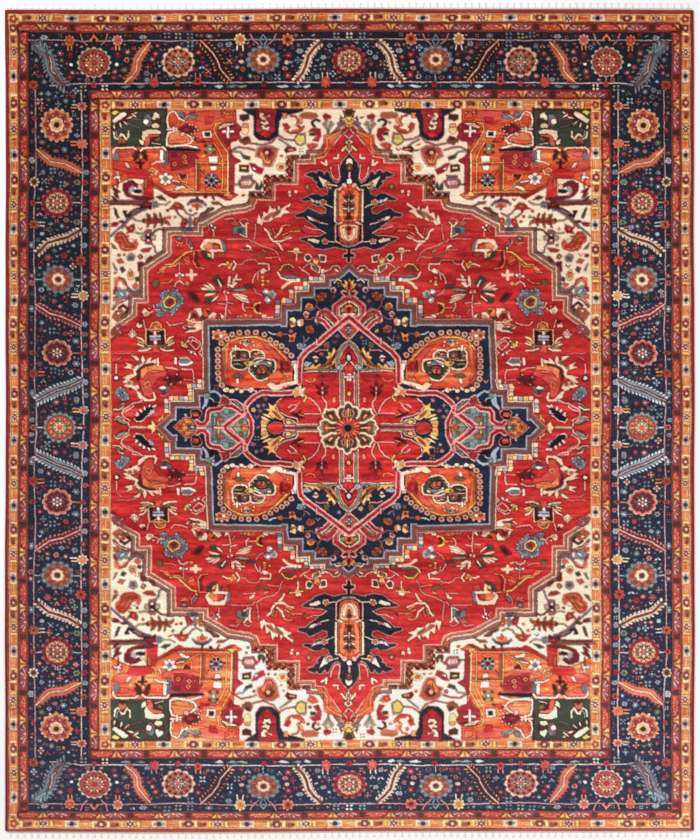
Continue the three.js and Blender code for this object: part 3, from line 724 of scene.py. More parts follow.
    T('''
p o 94,33.5 98.5,39 96.5,41.5 94,38 91.5,41.5 89.5,39
e K 94,39.5,1.7,2.2
e Q 94,84,3.2,3.2
e Q 178,83.6,2.6,3
e R 264,84,2.9,3
e R 349,84,3,3
l L 1 94,78.5 94,81
l L 1 263,74.5 263,81
l p 1.2 80.5,33.5 82.5,40 87,44.5
l p 1.2 107.5,33.5 105.5,40 101,44.5
l b 1.3 262,45 259.5,40 263,34.5 266.5,40 264,45
l p 1.2 250,34 253,40 258,44
l p 1.2 276,34 273,40 268,44
l l 1.2 73.5,202.5 81.5,202.5
l l 1.1 41,202.5 34.5,202.5
e S 33,203,3,2.6
e S 84,203,2.4,2.4
l L 1.3 40.5,279.5 35.5,279.5
l L 1.3 75.5,279.5 80.5,279.5
e M 31.5,276,2.8,2.6
e p 31.5,283,2.8,2.6
e M 84.5,276,2.6,2.4
e M 84.5,284,2.6,2.4
e x 33,353,4,2.2
e x 83,353,3.4,2.2
l p 1.1 73,353 79,353
e p 32.5,427.5,3.2,2.6
e m 83.5,427.5,3,2.4
l l 1.1 41.5,427.5 36.5,427.5
l l 1.1 76.5,427.5 81,427.5
e Q 34,118,2.6,2.4
e Q 34,131,2.6,2.4
e S 84.5,158.5,2.8,2.8
e R 84.5,182.5,3,2.8
e R 85,217.5,3,2.6
e R 64,255,3.4,3
e M 48,257.5,3.8,3.4
e S 48.6,257.5,1.6,1.5
e b 64,149.5,3,2.8
e M 55.5,151,2.8,2
e c 66.5,184,2.8,2.4
e T 76.5,182,3.4,3
e e 42,142.5,3.4,2.8
e L 75,305,3,2.6
e c 83.5,311,3,3
e m 64.5,403,3.4,3
e L 76,401,2.8,2.4
e M 55.5,402.5,3.2,2.8
e L 76,456,2.8,2.4
e b 76,341,3.6,2.8
e b 76,363.5,3.6,2.8
e Q 66,333.5,2.8,2.2
e L 42,172.5,2.4,2.2
e L 42,234,2.4,2
e p 66.5,220,2.6,2.4
e T 77,222,3.6,2.8
e b 62,226,2.4,2.4
e b 42,323,2.6,2.4
e M 31.5,113,2.2,2.2
e L 31,420,2.6,2.2
e l 44,37.5,3.6,2.4
e L 143,36.5,3.6,2.2
e s 209,36,3.8,2.4
e L 228.5,44,3.2,2.6
e l 299.5,51,3.6,2.4
e l 323,58,2.8,2.2
e M 60,53,3.2,2.8
e M 127.5,51.5,2.8,2.8
e c 198,52.5,3,2.6
e c 155.5,53.5,3,2.8
e M 152,59,2.8,2.6
e M 72.5,72.5,3,2.6
e m 70,77,4,3
e M 115,71.5,2.8,2.6
e m 114,77,4,3
e o 126.5,59.5,2.8,2.6
e e 124.5,69.5,3.4,2.8
e e 61.5,60,2.6,2.4
e s 36,60,2.8,2.4
e c 288,55,3.4,3
e c 288,75,3.8,3.4
e m 202,57.5,2.6,2.2
e P 241,61.5,2.8,2
e P 286.5,62,2.4,2
e o 243,69,2.4,2.4
e P 285,68.5,2.8,2.2
e L 317.5,76.5,2.8,2.6
e L 147.5,79.5,2.8,2.2
e m 241,78,3.4,3
e p 256.8,77.4,2.8,2.2
e b 270,77.4,2.8,2.2
e K 256.8,77.4,1.2,1
e K 270,77.4,1.2,1
e p 87.4,79.8,2.6,2.2
e M 101.5,79.8,2.6,2.2
p l 214,86 220,84.5 224,86 220,88.5
p b 226,85.5 236,84.5 240,86 232,88
p T 236,86 246,84.5 248,86 242,88
p s 136,86 142,84.6 146,86 140,88
p b 120,86 128,84.8 132,86.2 125,88
p l 276,86 286,84.6 290,86 282,88
p b 292,86 300,84.8 303,86.4 298,88
p l 303,86.5 309,84.4 311,86.4 306,88.5
e p 85.5,193,2.6,2.6
e L 85.5,172,3,2.4
e L 85.5,210,2.8,2.4
e L 85,230,2.4,3
e L 84,245,3.4,2.8
e l 31.5,160.5,3,3.2
e b 31.5,245,2.6,3.6
e b 31.5,309,2.6,3.6
e b 31.5,393,2.6,3.6
e l 85,324,2.8,2.8
e l 85,382,2.8,2.8
e p 85.5,334,3,2.2
e p 85.5,370,3,2.2
e p 85.5,345,2.4,2.4
e L 85.5,395,2.4,2.6
''')
    four = ['167,35 s', '190,36 s', '190,44 b', '83.5,88 T', '105,87 i', '178,36 T', '336,36 b', '349,36 l', '52.5,331 b', '53,371 s', '62,184 b', '52,171 b']
    for row in four:
        c, dye = row.split()
        cx, cy = map(float, c.split(','))
        for dx in (-2.0, 2.0):
            for dy in (-1.9, 1.9):
                W.shape(ellipse(cx + dx, cy + dy, 1.4, 1.3, 0, 8), dye, A, border_place)
    g = ('N',)
    boxes = ((L[3] + 2.6, H[3] + 2.6, R[3] - 2.2, H[4] - 2.0), (L[3] + 2.6, F[4] + 2.0, R[3] - 2.2, F[3] - 2.4),
             (L[3] + 2.6, H[4], L[4] - 2.4, F[4]), (R[4] + 2.4, H[4], R[3] - 2.6, F[4]))
    for n, box in enumerate(boxes):
        W.scatter(box, g, 4.4, 3.7, 31 + n, 1.0)
    for n, box in enumerate(boxes):
        W.fill(box, g, 'MsxcbTpqmLlMsQbMBX', 3.4, 1.9, 11 + n, 0.72)
CORNER_LINE = '236,110 236,122 241,128 236,140 230,142 231,156 240,161 233,165 233,193 238,195 230,200 218,194 180,195 174,199 153,187 151,178 128,178 111,187'
SPANDREL_LINE = '349,127 342,135 330,150 325,157 315,159 315,164 298,164 298,184.5 275.5,184.5 275.5,200.5 257.5,200.5 254,209 247,212 226,215 203,228 203,236.5 171.5,236.5 171.5,255 148,271 148,303 137,303 137,316 118,329 123,334 111,338'
PENDANT_LINE = '349,150 338,164 338,176 326,168 303,172 296,200 294,214 296,238 316,250 349,250'
MEDALLION_LINE = '349,262 337,273 324,275 324,282 308,282 308,291 295,291 295,304 281,304 281,318.5 203,320 203,390 193,390 193,402 169,402 169,414 155,427.5'

# small things on the ivory round the corners
SPANDREL = '''
# shield between the corner square and the pendant corner
p N 243,110 254,116 254,135 259,140 270,140.5 278,135 279,122 282,116 303,111 303,109 243,109
p c 256,109 256,130 261,136.5 269,137.5 275,131 275,118 277,112 277,109
p m 258,109 258,118 256,118 256,109
p i 260,113 264,113 264,116 270,114.5 270,116 266,118 266,120 269,123 266,125 270,127 268,130 263,129.5 261,126 264,125 260,122.5 263,121 261,118 259.5,117
p x 263,116 268,115.5 266,118
p R 265,130 271,134 266,138 260,134
e k 264,121,1.2,1
e k 266,126,1.2,1
# left of the shield
p k 240,115 249,114 249,119 243,121 240,119
e g 245,129,3.5,5.2
p o 243,124 248,124 248,127 243,127
p X 239,139 249,137 251,141 245,144 240,142
p k 244,137.5 248,136 248,139 244,140
l M 1.1 232,150 238,147 247,148 254,150
l W 1.0 244,144 250,143 262,145 272,142 278,135
l W 1.0 279,136 285,139 293,140 298,139
l s 1.0 279,139 284,142 290,146
p E 241,154 250,157 249,160 243,158
l b 1.0 232,151 240,152 244,156
# rust pomegranate
p p 255,156 257,149 262,145.5 272,145.5 278,149 275,160 271,166 263,166.5 262,159
p x 257,155 259,149 264,147 272,147 276,150 273,159 269,165 264,164 263,157
p o 259,155 262,150 264,158 267,163 265,164 262,158
p m 262,152 265,148.5 270,149 273,153 269,157 266,153
e P 266.5,152.5,2,2
p o 266,157 268,161 271,158 270,163 266,164
# dark square and crimson bird leaf
p k 239,165 248,165 248,172 239,171
p y 241,167 246,167 246,169 241,169
p c 249,163 254,164 258,167 263,169 261,174 257,173 252,170
p w 252,167 256,169 253,170
# gold flower on ivory
p g 276,166 279,163 284,164 286,168 283,171 278,170
p O 279,165.5 283,166 282,169 279,168.5
# mauve ring and dark crescent
p s 241,176 252,175 251,178 242,178.5
c M 2.0 239,182 242,178.5 250,178.5 253,182 250,187 241,187
p P 243,180.5 248,181 247,185 243,184.5
l W 1.1 254,181 257,184 256,187
p E 255,188 256,184.5 259,187 261,181.5 263,186 260,190 256,190
l s 1.0 233,184.5 239,184.5
# gold blob with serrations
p T 294,140 297,134 305,133 306,143 301,145.5 297,144
p y 295,139 298,135 304,135.5 304.5,142 300,144.5 296.5,142
# rust scroll ring
l x 2.6 291,115.5 296,116.5 298,120 297,125 302,129 298,132.5 291,133 287,131
l o 2.2 301,116 301,122 297,125
l Q 2.4 303,127 299,130.5 293,131.5
p R 283,124 287,123 290,127 288,130 285,129
l o 1.4 287,131 285,129
p o 282,113 287,113 286,118 283,118
# red vine and small figures along the edge
p x 301,114 306,112.5 316,113.5 318,116.5 312,119 303,118
l K 1.6 313,125 312,122 316,119.5 319.5,121
l k 1.4 313,125 315,126.5
p c 309,131 313,128 320,129 321,136 318,141.5 313,140.5 317,136 315,132
p k 310,133 315,133 315,135.5 310,135.5
p Q 307,145 312,143 318,144.5 314,148.5 309,150
p o 309,146 313,145.5 311,148
p c 323,116 326,114 331,116.5 330,119 324,119
p x 326,118 328,122 325,120
l T 1.4 323,124 328,131 333,124
l s 1.3 328,131 328,135
l T 1.2 325,122 328,128 331,122
p k 284,150 287,146.5 295,147.5 296,150 290,151 286,152.5
p o 288,148.5 294,148.5 294,150 288,150.5
# orange leaf band beside the peak
p O 320,156 324,150 324,136 332,133 340,131 345,128 341,134 334,141 331,149 325,155
l o 1.8 322,154 327,148 327,139 334,135 341,132
p x 316,157 319,151 323,151 322,156
# palmette over the peak
p e 344,112 354,112 353,117 349,120 345,117
p k 346,110 352,110 351,114 347,114
p g 341,120 346,118 349,116 352,118 357,120 353,124 351,128 347,128 345,124
p G 344,121 349,119 354,121 351,125 347,125
p y 346,117 352,117 350,121 348,121
p s 337,124 341,121 344,124 340,125.5
p X 341,116.5 343,118.5 340,120
p O 344,126 346,129 343,130
# left part: stalks and leaves
l m 2.0 110.6,203.6 126,203.6 142,204.6
l X 1.5 108,201.4 124,201.6 144,202.2
l s 0.8 112,200 130,200.4 146,201
p m 141,205 146,201 152.4,203 151,208.5 143,209
t n 1.8 143,206 140,207.6
t n 1.8 146,207 144.6,210
t n 1.8 149.6,206.4 151,209.6
e c 146.4,204.6,1.4,1.4
e c 149.6,204.2,1.2,1.2
p b 152.2,201.6 156,201.2 158.6,203.4 158.4,206.6 154,208.2 152,207.4
p s 154,203 156.6,203 156.4,206.2 153.8,206.4
l s 2.6 146,209.6 140,210 133,213.4 127,219.4 121.4,226 115,231.6 111,236
l k 1.4 144,207.8 137,208.6 131,212 126.6,216.6
l W 1.2 141,211 134,215 128,220.8 122,227.6
l K 2.0 124,211.4 126.4,215.4 130.6,215.2
t K 1.8 124.6,212.4 127,210.6
t k 2.4 119,221.2 125,221.8
t m 2.4 111,223.6 119,223
t c 2.0 111,226 118,224.6
p E 114,207.6 116.4,209.4 119,217.6 117,217.8 115,213
l T 0.9 131,216 136,220.4 144,221
# rust fish leaf with hooked fins
p x 143.6,219.6 150,217.8 162,218.8 167.6,220.6 169.6,223.6 165,223.2 158,223 149,224 144,223
p c 147,220.4 160,220.2 163,221.6 150,222.2
t X 1.9 149.4,219.6 147.2,213.4
t X 1.9 155.6,219.4 154.4,212.8
t X 1.9 161.6,219.4 160,213
t e 1.4 150.4,219 149.6,214.6
t e 1.4 156.8,219 156.2,214.2
t X 1.6 162.4,219.6 166.6,217.4
t X 1.9 149.6,222.6 147,227.4
t X 1.9 156.6,222.6 154,228
t X 1.8 163,222.2 161.2,226
t x 1.8 166,221.6 170,225.4
t k 1.6 143,221.6 144.6,218.4
l T 0.9 160,204.6 166,204.8 170,201.8
p E 156,197 161,195.8 165,198.8 166.4,200.4 160,199.6
p D 169,209.4 172.6,205.8 175.4,203 180,203.2 184,207 183,210.2 178.6,209.2 177,212.4 174.6,209.6
p Q 175,206.2 178,204.6 181,207.4 177.6,208
l e 0.9 176.4,211.4 179.4,215.4 183,218
l s 0.9 184.4,210 187,214 192,216 196.6,213.4
p K 203.6,194 207.4,194 206.6,198.2 204,197.8
l s 2.0 188.4,204.4 191.6,201.2 197,200.2 202,201.6 205.6,205
l B 1.4 191,201.8 197,200.4 202,202
p O 192.4,204 196,202.6 200.4,204 202,207.2 198.6,206.8 197.4,210 195.6,207.2 192.6,207
p x 195.6,207 197.4,210 199,207 197.4,204.6
l K 1.2 196.4,194 197.6,199.4
l E 1.4 212,195.4 214,199
p X 211.6,201.8 219,202 221,204.4 213,204
l e 0.8 221,204.4 224,206.4
l E 1.9 201,214.6 205.6,212.6 208.6,208.8 213.4,208.6
l X 1.3 200,217.4 205,215.8 209,212 211.4,210
p c 180.6,226.8 182.6,219.4 186.6,218.8 188,223 184.6,227.2
p Q 182.4,222 185,220.4 185.6,224
p x 192.6,224.6 195,218 199.6,218.2 198.4,222.4 196,225.4
p o 194.6,222.6 196.4,219.6 198,221.4
p s 188.4,219.4 190.2,217 192.2,220.4 191,226.4 189,226
p s 182.6,231.4 185,228.6 191.6,228.4 193,231.4
p B 186,230.8 187.4,229 191,229 191.6,231
# rust diamond with small teeth
p D 127,227.4 130.6,225.6 134.4,224 135,228.6 133,232.4 128.6,232.6
t x 1.4 127,228.6 125.6,225.4
t x 1.4 128.6,232 126.4,233
p Q 129.4,227.4 132.4,226.6 132.6,230.4 129.6,230.6
# big orange scroll
p S 114.6,236 117.6,232 122,231.4 126.4,235.4 129.4,235.8 127,238.6 130,243 134,243.4 135.8,239.4 138,243.6 136.4,248.4 131,250.6 123,250.4 119.6,247.4 118.6,243.6 115,241
p O 116.4,237 119,233.6 122.6,233.4 126,238 128,242.4 131.4,245.4 134,246 131,248.4 124,248.2 121,244.6 119,241
l x 0.8 117.6,238 121.4,236.4 124.4,241 127.6,245.4 133,246.6
l x 0.8 120,242 124,244.2 128,248
l o 0.9 118.6,235.4 122.6,235.4 126,240.4
l o 0.9 122,247 128,249 133.6,248
p i 128.8,239.4 132,238.8 134,240.8 132.6,242.6 130,241.6
p e 111.4,243 115,246 117,249 113,248
# mauve flower, two lobes and cream beads
p M 144.6,231.6 147,229.6 151,229.8 152,232.6 150.6,235.4 146,235.4
p M 145,240 151.6,239.8 152,243.4 149.6,244.4 145.4,243.6
p m 146,235 150.6,235 151,240.4 145.6,240.4
e i 148.2,234.8,1.2,1.1
e i 148.2,240.2,1.5,1.3
e n 148.4,237.4,1.3,1.1
c T 0.8 144.6,235.6 141.4,236.6 142,239.6 145,239.6
c T 0.8 151.6,235.4 155,236 155,239.2 151.6,239.4
l E 1.2 152.2,234 156,230.4 160,229.4 164,230
l T 0.8 136,232.6 140,233.4 144,233
l s 0.9 152,244 154.6,247 155.4,252 158,253.2 164.4,252.8
p D 140.4,250.4 144,248.4 152,247.8 149,251.6 143.6,252
c b 1.8 128,256.4 131,254.4 134,256.4 133,260 129,260
p X 129.6,257 132.4,256.6 132.2,259.2 129.8,259.2
p e 138,256 140.6,254 143,257 140.4,259
e o 140.4,256.6,1.1,1.1
p m 146,260.4 150,256.4 152.4,256.4 150.4,260.4 147,262
p x 117,260 121,258.5 124,262 119,263
p E 120,268 123,266.5 125,270 122,272.5
p s 113,263 115,266 117,270 115,270
p m 138,262 142,261.5 143,265 139,267 140,270 138,271
c y 1.4 128,275 130,270 133,274 132,279 129,278.5
p Q 129,272.5 132,272 132,276 129,275.5
p E 135,278 138,276.5 139,280 136,281.5
# peach and rust arch
l o 3.4 115,287 115,279 119,277.5
l x 2.6 119,277.5 124,279.5 126,285 129,289
l p 1.2 116,289 117,281 121,279.5 124,284
p c 113,290 116,288 117,293 113,294
p Q 132,286 136,283 138,286 136,289 133,288
l s 2.2 128,289.5 133,292 138,291 141,288
l W 1.2 129,292 135,294.5 140,291
p b 115,292 119,288 122,290 127,289 125,293 128,298 123,297 122,302 119,298 115,296
p l 118,291 122,292 124,296 120,295
p Q 113,297 117,297 118,300 113,301
l W 2.0 113,309 117,303 122,300 128,298
l P 1.2 114,306 119,301 125,299
l K 1.8 119,308 123,305 128,309 126,312
p x 112,316 116,311 122,309 125,313 120,317 117,321 113,318
p i 117,312 121,312 118,315
p e 123,314 127,313 126,317 122,317
# curl at the foot of the band
c M 1.4 112,333 117,326 124,326.5 121,330
l c 1.4 112,340 117,335 124,334
'''

BAND = '''
p x 286.5,155.5 297,155.5 297,160 291,160 291,176 286.5,176
p x 264,176 291,176 291,180.5 271,180.5 271,196 264,196
p x 250,194.5 271,194.5 271,197.5 255,197.5 255,202 250,204
s kO 1.9 288.6,159.8 288.6,163.4 288.6,167.0 288.6,170.6 288.6,174.2
s iK 1.7 286.4,158.9 286.4,162.7 286.4,166.5 286.4,170.3 286.4,174.1
s XoK 1.8 291.6,162.0 291.6,166.0 291.6,170.0 291.6,174.0 291.6,178.0
s kO 1.9 268.2,177.6 271.8,177.6 275.4,177.6 279.0,177.6 282.6,177.6 286.2,177.6
s Ki 1.7 265.8,175.6 269.5,175.6 273.2,175.6 276.8,175.6 280.5,175.6 284.2,175.6
s oXK 1.7 269.9,180.0 273.8,180.0 277.6,180.0 281.4,180.0 285.2,180.0 289.1,180.0
s Ok 1.9 266.6,181.0 266.6,185.0 266.6,189.0 266.6,193.0
s iK 1.7 264.4,178.7 264.4,182.1 264.4,185.5 264.4,188.9 264.4,192.3
s XoK 1.7 269.6,183.8 269.6,187.2 269.6,190.8 269.6,194.2
s kO 1.9 253.0,196.4 257.0,196.4 261.0,196.4 265.0,196.4
s Ki 1.6 251.9,194.4 255.6,194.4 259.4,194.4 263.1,194.4
s kXo 1.8 292.8,157.6 296.2,157.6 299.8,157.6 303.2,157.6 306.8,157.6 310.2,157.6
s MWi 1.7 292.0,155.6 296.0,155.6 300.0,155.6 304.0,155.6 308.0,155.6
'''

CORNER = '''
# dark block
p E 111,109 166,109 166,146.5 111,146.5
l k 1.0 111,109.5 166,109.5
l k 1.2 166.4,109 166.4,147
# striped leaf
p i 112,120 121,112.5 125,111.5 127,114 121,119 114,123
t m 3.0 127,115 137,108.5
t i 1.6 128,116 138,111.5
t m 2.6 126,117 134,113
t m 2.6 124,119 132,117
t m 2.6 121,120 127,122.5
t k 2.4 118,121 122,126
t k 2.4 115,123 117,128.5
t k 2.2 112,124.5 112.5,129
t i 1.8 126,118.5 133,116.5
t i 1.6 123,120.5 128,125
t i 1.6 119.5,122 121.5,128
t i 1.6 113.5,124 114.5,129
p y 111,112 116,110 119,112 114,115
t i 1.6 131,113 137,117.5
# stems
l M 1.0 132,118.5 140,119 145,120.5
l M 1.0 127,122.5 134,126 140,127.5
# flower and blobs
e M 147.5,120,4.4,6.6
e s 148.5,118,2.8,4
e w 146,121.5,2.6,2.6
p i 152,118 155,112 159,114.5 160,118 156,119.5 153,120
p i 151,125 156,122.5 159,124.5 159,127.5 153,128
p k 156,118.5 161,118.5 161,123.5 156,123
# anchor
l i 1.7 114,132 114.5,137 118,139.5
l i 1.7 128.5,131 128.5,136.5 125.5,139
l i 1.9 118,139 121,134 123,134.5 126,139
l T 1.2 116,131 116.5,135 119,137
p x 117.5,143 119,138.5 121.5,137.5 124.5,139 125.5,143 121,144.5
p k 119,144 122,142 125,144 122,145
# cream and rust leaf, lower right of the block
p i 142,137 142.5,131 148,129.5 156,129.5 161,131.5 160,134 152,133.5 148,136 146,141 143,140
p Q 144,145.5 146,138 150,134.5 158,134.5 160,136 153,137 150,140 149,145 146,146
p i 139,139 144,141 143,145 140,143.5
p k 150,138 155,137.5 158,142 154,143.5 151,141
p e 154,139 160,137 160,140.5 156,142
l P 1.1 152,143 160,144.5
# outlined panels
c I 1.7 173,111.5 168.5,114 167,120 168,126.5 171,129 177,128.4 178,122 177,115 175,112
p O 173,113 169.5,115 168.6,120 169.4,126 174,127.4 179,127 181,118 177,114
p S 170,118 176,116 177,123 172,125
l I 1.6 167,129.5 178,129 
c I 1.8 176,130.6 168.5,133 166.8,138 166.8,145.5 178,145.8 190,143.5 193,140 189,136 180,131
p o 175,132.5 170,134.5 168.6,139 168.6,143.5 179,144 189,141.5 190,139.5 183,134
p O 170,141 187,140 184,144 170,143.8
l w 1.8 170,147 186,145.3 197,148.2
p n 166.5,149 168,148 182,148.2 200,150 199,151.2 168,150.8
l M 1.0 168,151.6 198,152
p s 163.6,150 167.6,149.6 167.6,162 166,166 162,165
p M 166.2,151 167.8,151 167.8,161 166.2,161
p w 159.6,150 163,150.4 162.6,165 159.6,160
c I 1.6 113,157 113,150 116,147.6 133,147.4 137,150.5
l I 1.8 140,150.4 143,147.8 163,147.4 165.6,150
l I 1.6 164,161 156,162 151,164.5
p Q 116,149.5 132,149.2 135.5,151.5 134,153 117,151.5
p Q 145,149.6 160,149.2 158,151.4 146,152
e Q 122,154,5.5,2.4
# slate motif and serrated diamond
p b 177,112 182,111.5 185,115 181,118 178,116.5
p s 180,113 184,113 184,117 180,117
l I 1.4 175,112 179,119 184,121
p b 186,116.5 190,114 197,115.5 194,118.5 187,118
l L 1.2 185,119 189,115.5 198,113.5
p c 190,112 195,111.6 195,114 190,114.6
p m 178,130 184,125 188,124 193,127 197,130 193,133 188,134 182,133
p c 182,130 187,127.5 191,130 187,132.6
s P 1.7 187,122.5 189.5,125 192.5,125 196,127 194.5,131 198,130 191.5,134.5 195,134 193.5,138 197,136.5
p P 180,134 184,132 185,135.5 181,137
p i 172.5,127 174.5,127 174.5,133 172.5,133
# right side of the orange ground
p Q 198,112 214,111 226,111.5 222,117 206,122 196,120
p R 205,118 214,117 212,123 206,124
e Q 224,112.5,2.6,2
p S 222,110 235,110 236,120 226,121 222,116
p O 225,112.5 232,112.5 233,118 226,118
s P 1.6 224.5,112.5 232,113
p w 202,131.5 211,130.5 212,137.5 203,138
p n 205,132.5 209.6,132.5 209.6,136 205,136
p Q 203,139 212,139 211,141 204,141
l k 1.2 195,139.5 205,142
p R 196,137.5 204,141 197,142.5
e y 209.5,149,4.6,5.2
e T 209.5,149,3.2,4.2
s E 1.9 205.5,146 213.5,146 205.5,152.5 213.5,152.5
e i 209.5,149,1.5,1.5
p w 208.5,156.5 217.5,156 217,163 209,163
p w 209.5,166 216,165.5 215.5,170 210.5,170
l k 1.1 209,164.5 217,164.3
# pale star flower
e W 211,180.4,6.6,6.0
t l 2.6 211,180.4 211,173.2
t l 2.6 211,180.4 216.4,175
t l 2.6 211,180.4 218.8,180.4
t l 2.6 211,180.4 216.4,186
t l 2.6 211,180.4 211,187.4
t l 2.6 211,180.4 205.6,186
t l 2.6 211,180.4 203.4,180.4
t l 2.6 211,180.4 205.6,175
e B 208.6,175.6,1.1,1.0
e B 213.6,175.6,1.1,1.0
e B 206.4,178,1.1,1.0
e B 215.8,178,1.1,1.0
e n 206.4,183,1.1,1.0
e n 215.8,183,1.1,1.0
e n 208.8,185.2,1.1,1.0
e n 213.4,185.2,1.1,1.0
e W 211,180.4,2.6,2.4
e n 211,180.4,1.4,1.3
l k 1.0 218.4,181.6 222.6,181.8
l k 0.9 201,169.4 203.6,173.4
l G 0.8 200,168 206,175
l G 0.9 206,189.4 211,186.8 216,189.4
# white six-petal flower
t w 4.2 165,178.6 165,171.6
t w 4.2 165,178.6 165,185.6
t w 4.4 165,178.6 158,176.4
t w 4.4 165,178.6 172,176.4
t w 4.0 165,178.6 160,183.6
t w 4.0 165,178.6 170,183.6
e s 165,178.8,2.1,1.9
# gold ring, leaf
c G 1.3 149,170 151.5,167.8 154.5,170 154.5,173.4 151.5,175 149,173
e o 151.8,171.4,1.6,1.7
l i 1.2 155,175 156.5,170.5
p k 178,174.5 182,172.5 185,176 183,179 180,178
p m 180,175 184,175.5 182,178.5
l G 1.0 177,174 179.5,180 185,183
l G 1.0 186.5,173 187,180 184.5,187
p e 172,183 180,183.5 183,186 177,185.5
p I 174,190 177,187 183,186 186,188 181,188.5 177,191
l w 1.1 172,181 179,182.4
# crimson patch with small rings
p c 168.5,153 178,152 194,153.4 198,158 193,167.5 181,168.5 172,167 168.5,161
p c 170,166 175,163.5 180,168 175,171.5 170,169
p m 171,154 176,153.5 176,157 171,157
c o 1.1 182,157.4 184,155 186,157.4 184,159.4
c o 1.1 183,162.4 185,160.4 187,162.4 185,164.4
c o 1.1 172,164.6 174,162.6 176,164.6 174,166.6
s Q 1.4 178,160 189,157 190,163 180,166 193,160
# brown palm
t k 3.0 139,153 132,156.4
t k 3.0 140,152.4 134.6,151
t k 3.0 142,153 147,156.4
t k 3.0 141,152.4 146,151
t K 2.6 138,155 133,161
t K 2.6 143,155 147,160
e x 140.6,156.4,2.4,3
e G 140.6,156.8,1.2,1.8
l K 2.0 139.6,161 140,167.4
l K 1.6 136,162.6 143,162.6
p s 113,154 116.5,151.5 119,155 118,160 113.5,160
p i 124,161.5 127,163 130.5,168.5 127,167.5 124.5,165
p T 126,165 130,166.5 128,169
p Q 113,163 121,161 132,163 136,170 124,171 113,168
p i 124,161.5 127,163 130,168 126,167
# reds and golds along the low edge
p R 125,171 140,168.5 150,173 146,177.5 128,177
p Q 158,166 170,171 186,170 196,166 196,170 183,175 160,172
p O 114,170 122,172 119,178 113,177
l G 1.1 153,183.6 160,188 167,192.6 180,193.4
l G 1.0 165,192 196,192.3 225,192.3
l G 1.1 195.6,160 195.6,190
l x 0.9 197.8,163.8 197.8,190
l G 0.9 195,162.8 225,163.2
l x 0.8 197,165 225,165.4
l G 0.9 184,184.6 194,190.6
l g 1.5 227.4,151 227.4,194.5
l x 0.9 229.4,151 229.4,194
l G 1.3 221,122.5 215.6,123.6 214,130 217.6,137.6 222,145 227,151.6
l G 1.1 213.6,143 218,149 222,158 222,190
l x 1.0 199,168 199,189
p G 223,196 226,192.4 230,191.6 233,196
p c 230,150 233.6,157 239.5,160.8 234,164 233.4,193 230.2,194.5 230.2,160
p c 179,194.6 218,193.6 230,199.6 226,199.8 217,195.6 181,196.4
p c 153,184 166,193.4 176,198.4 181,195.4 167,191.4
# crimson rosette
p c 218,128 222,123.6 232,122.4 239,125 241,129 238,132 241,137 236,141 231,141.6 227,146.6 224,141 218,136
p m 222,125 230,123.6 236,126 229,127
c i 1.2 219,128 224,124.4 233,123.6
l w 2.4 223,131.4 233,131.4
l w 2.4 228,127.4 228,136.4
l x 1.2 219,137.6 225,141
# crimson hook with ring and crescent
p m 122.5,184.6 127.6,180.6 134,180.4 138.4,184 136,187.6 132,185 128.4,187.6 128,192 130.6,195 141,196.4 151,196.6 153.6,199.4 148,201 136,199.4 126,195.6 122.5,190
p i 127,178.8 143,179.2 142.4,183.4 138,184.4 133,180.6
p I 129.6,188.4 133.6,186.6 137.6,188.4 141,186 144,190.6 142,195.6 133.4,195 129.6,192
p n 132.6,190.6 136.6,189.4 140.4,189.4 142,191.8 138,193 134,192.2
c L 1.1 129,188.6 131.4,187 133,189.4 131,191
l G 1.1 142.6,183.6 142.6,195
p R 143.6,179.2 151,178.6 152.6,186 153.4,198.6 147,196.6 143.6,196
p x 144,179.2 146.6,179 146.6,188 144,188
# pink-white flower
e P 117,176.6,3.0,2.6
t P 2.6 117,176.6 117.2,171
t w 2.2 117,176.6 112.6,178
t w 2.2 117,176.6 119.4,181.4
p w 116,175.4 119.4,176 118.6,178.6 115.6,178
l c 1.0 117,180 117,187
'''

IVORY_LEFT = '''
t k 2.6 112,186 117.6,195
t m 2.4 113,189 120,192
t m 2.4 113,193 119,198
t k 2.2 111.6,196 117,201
p e 123,183 127,182.4 125,186
'''

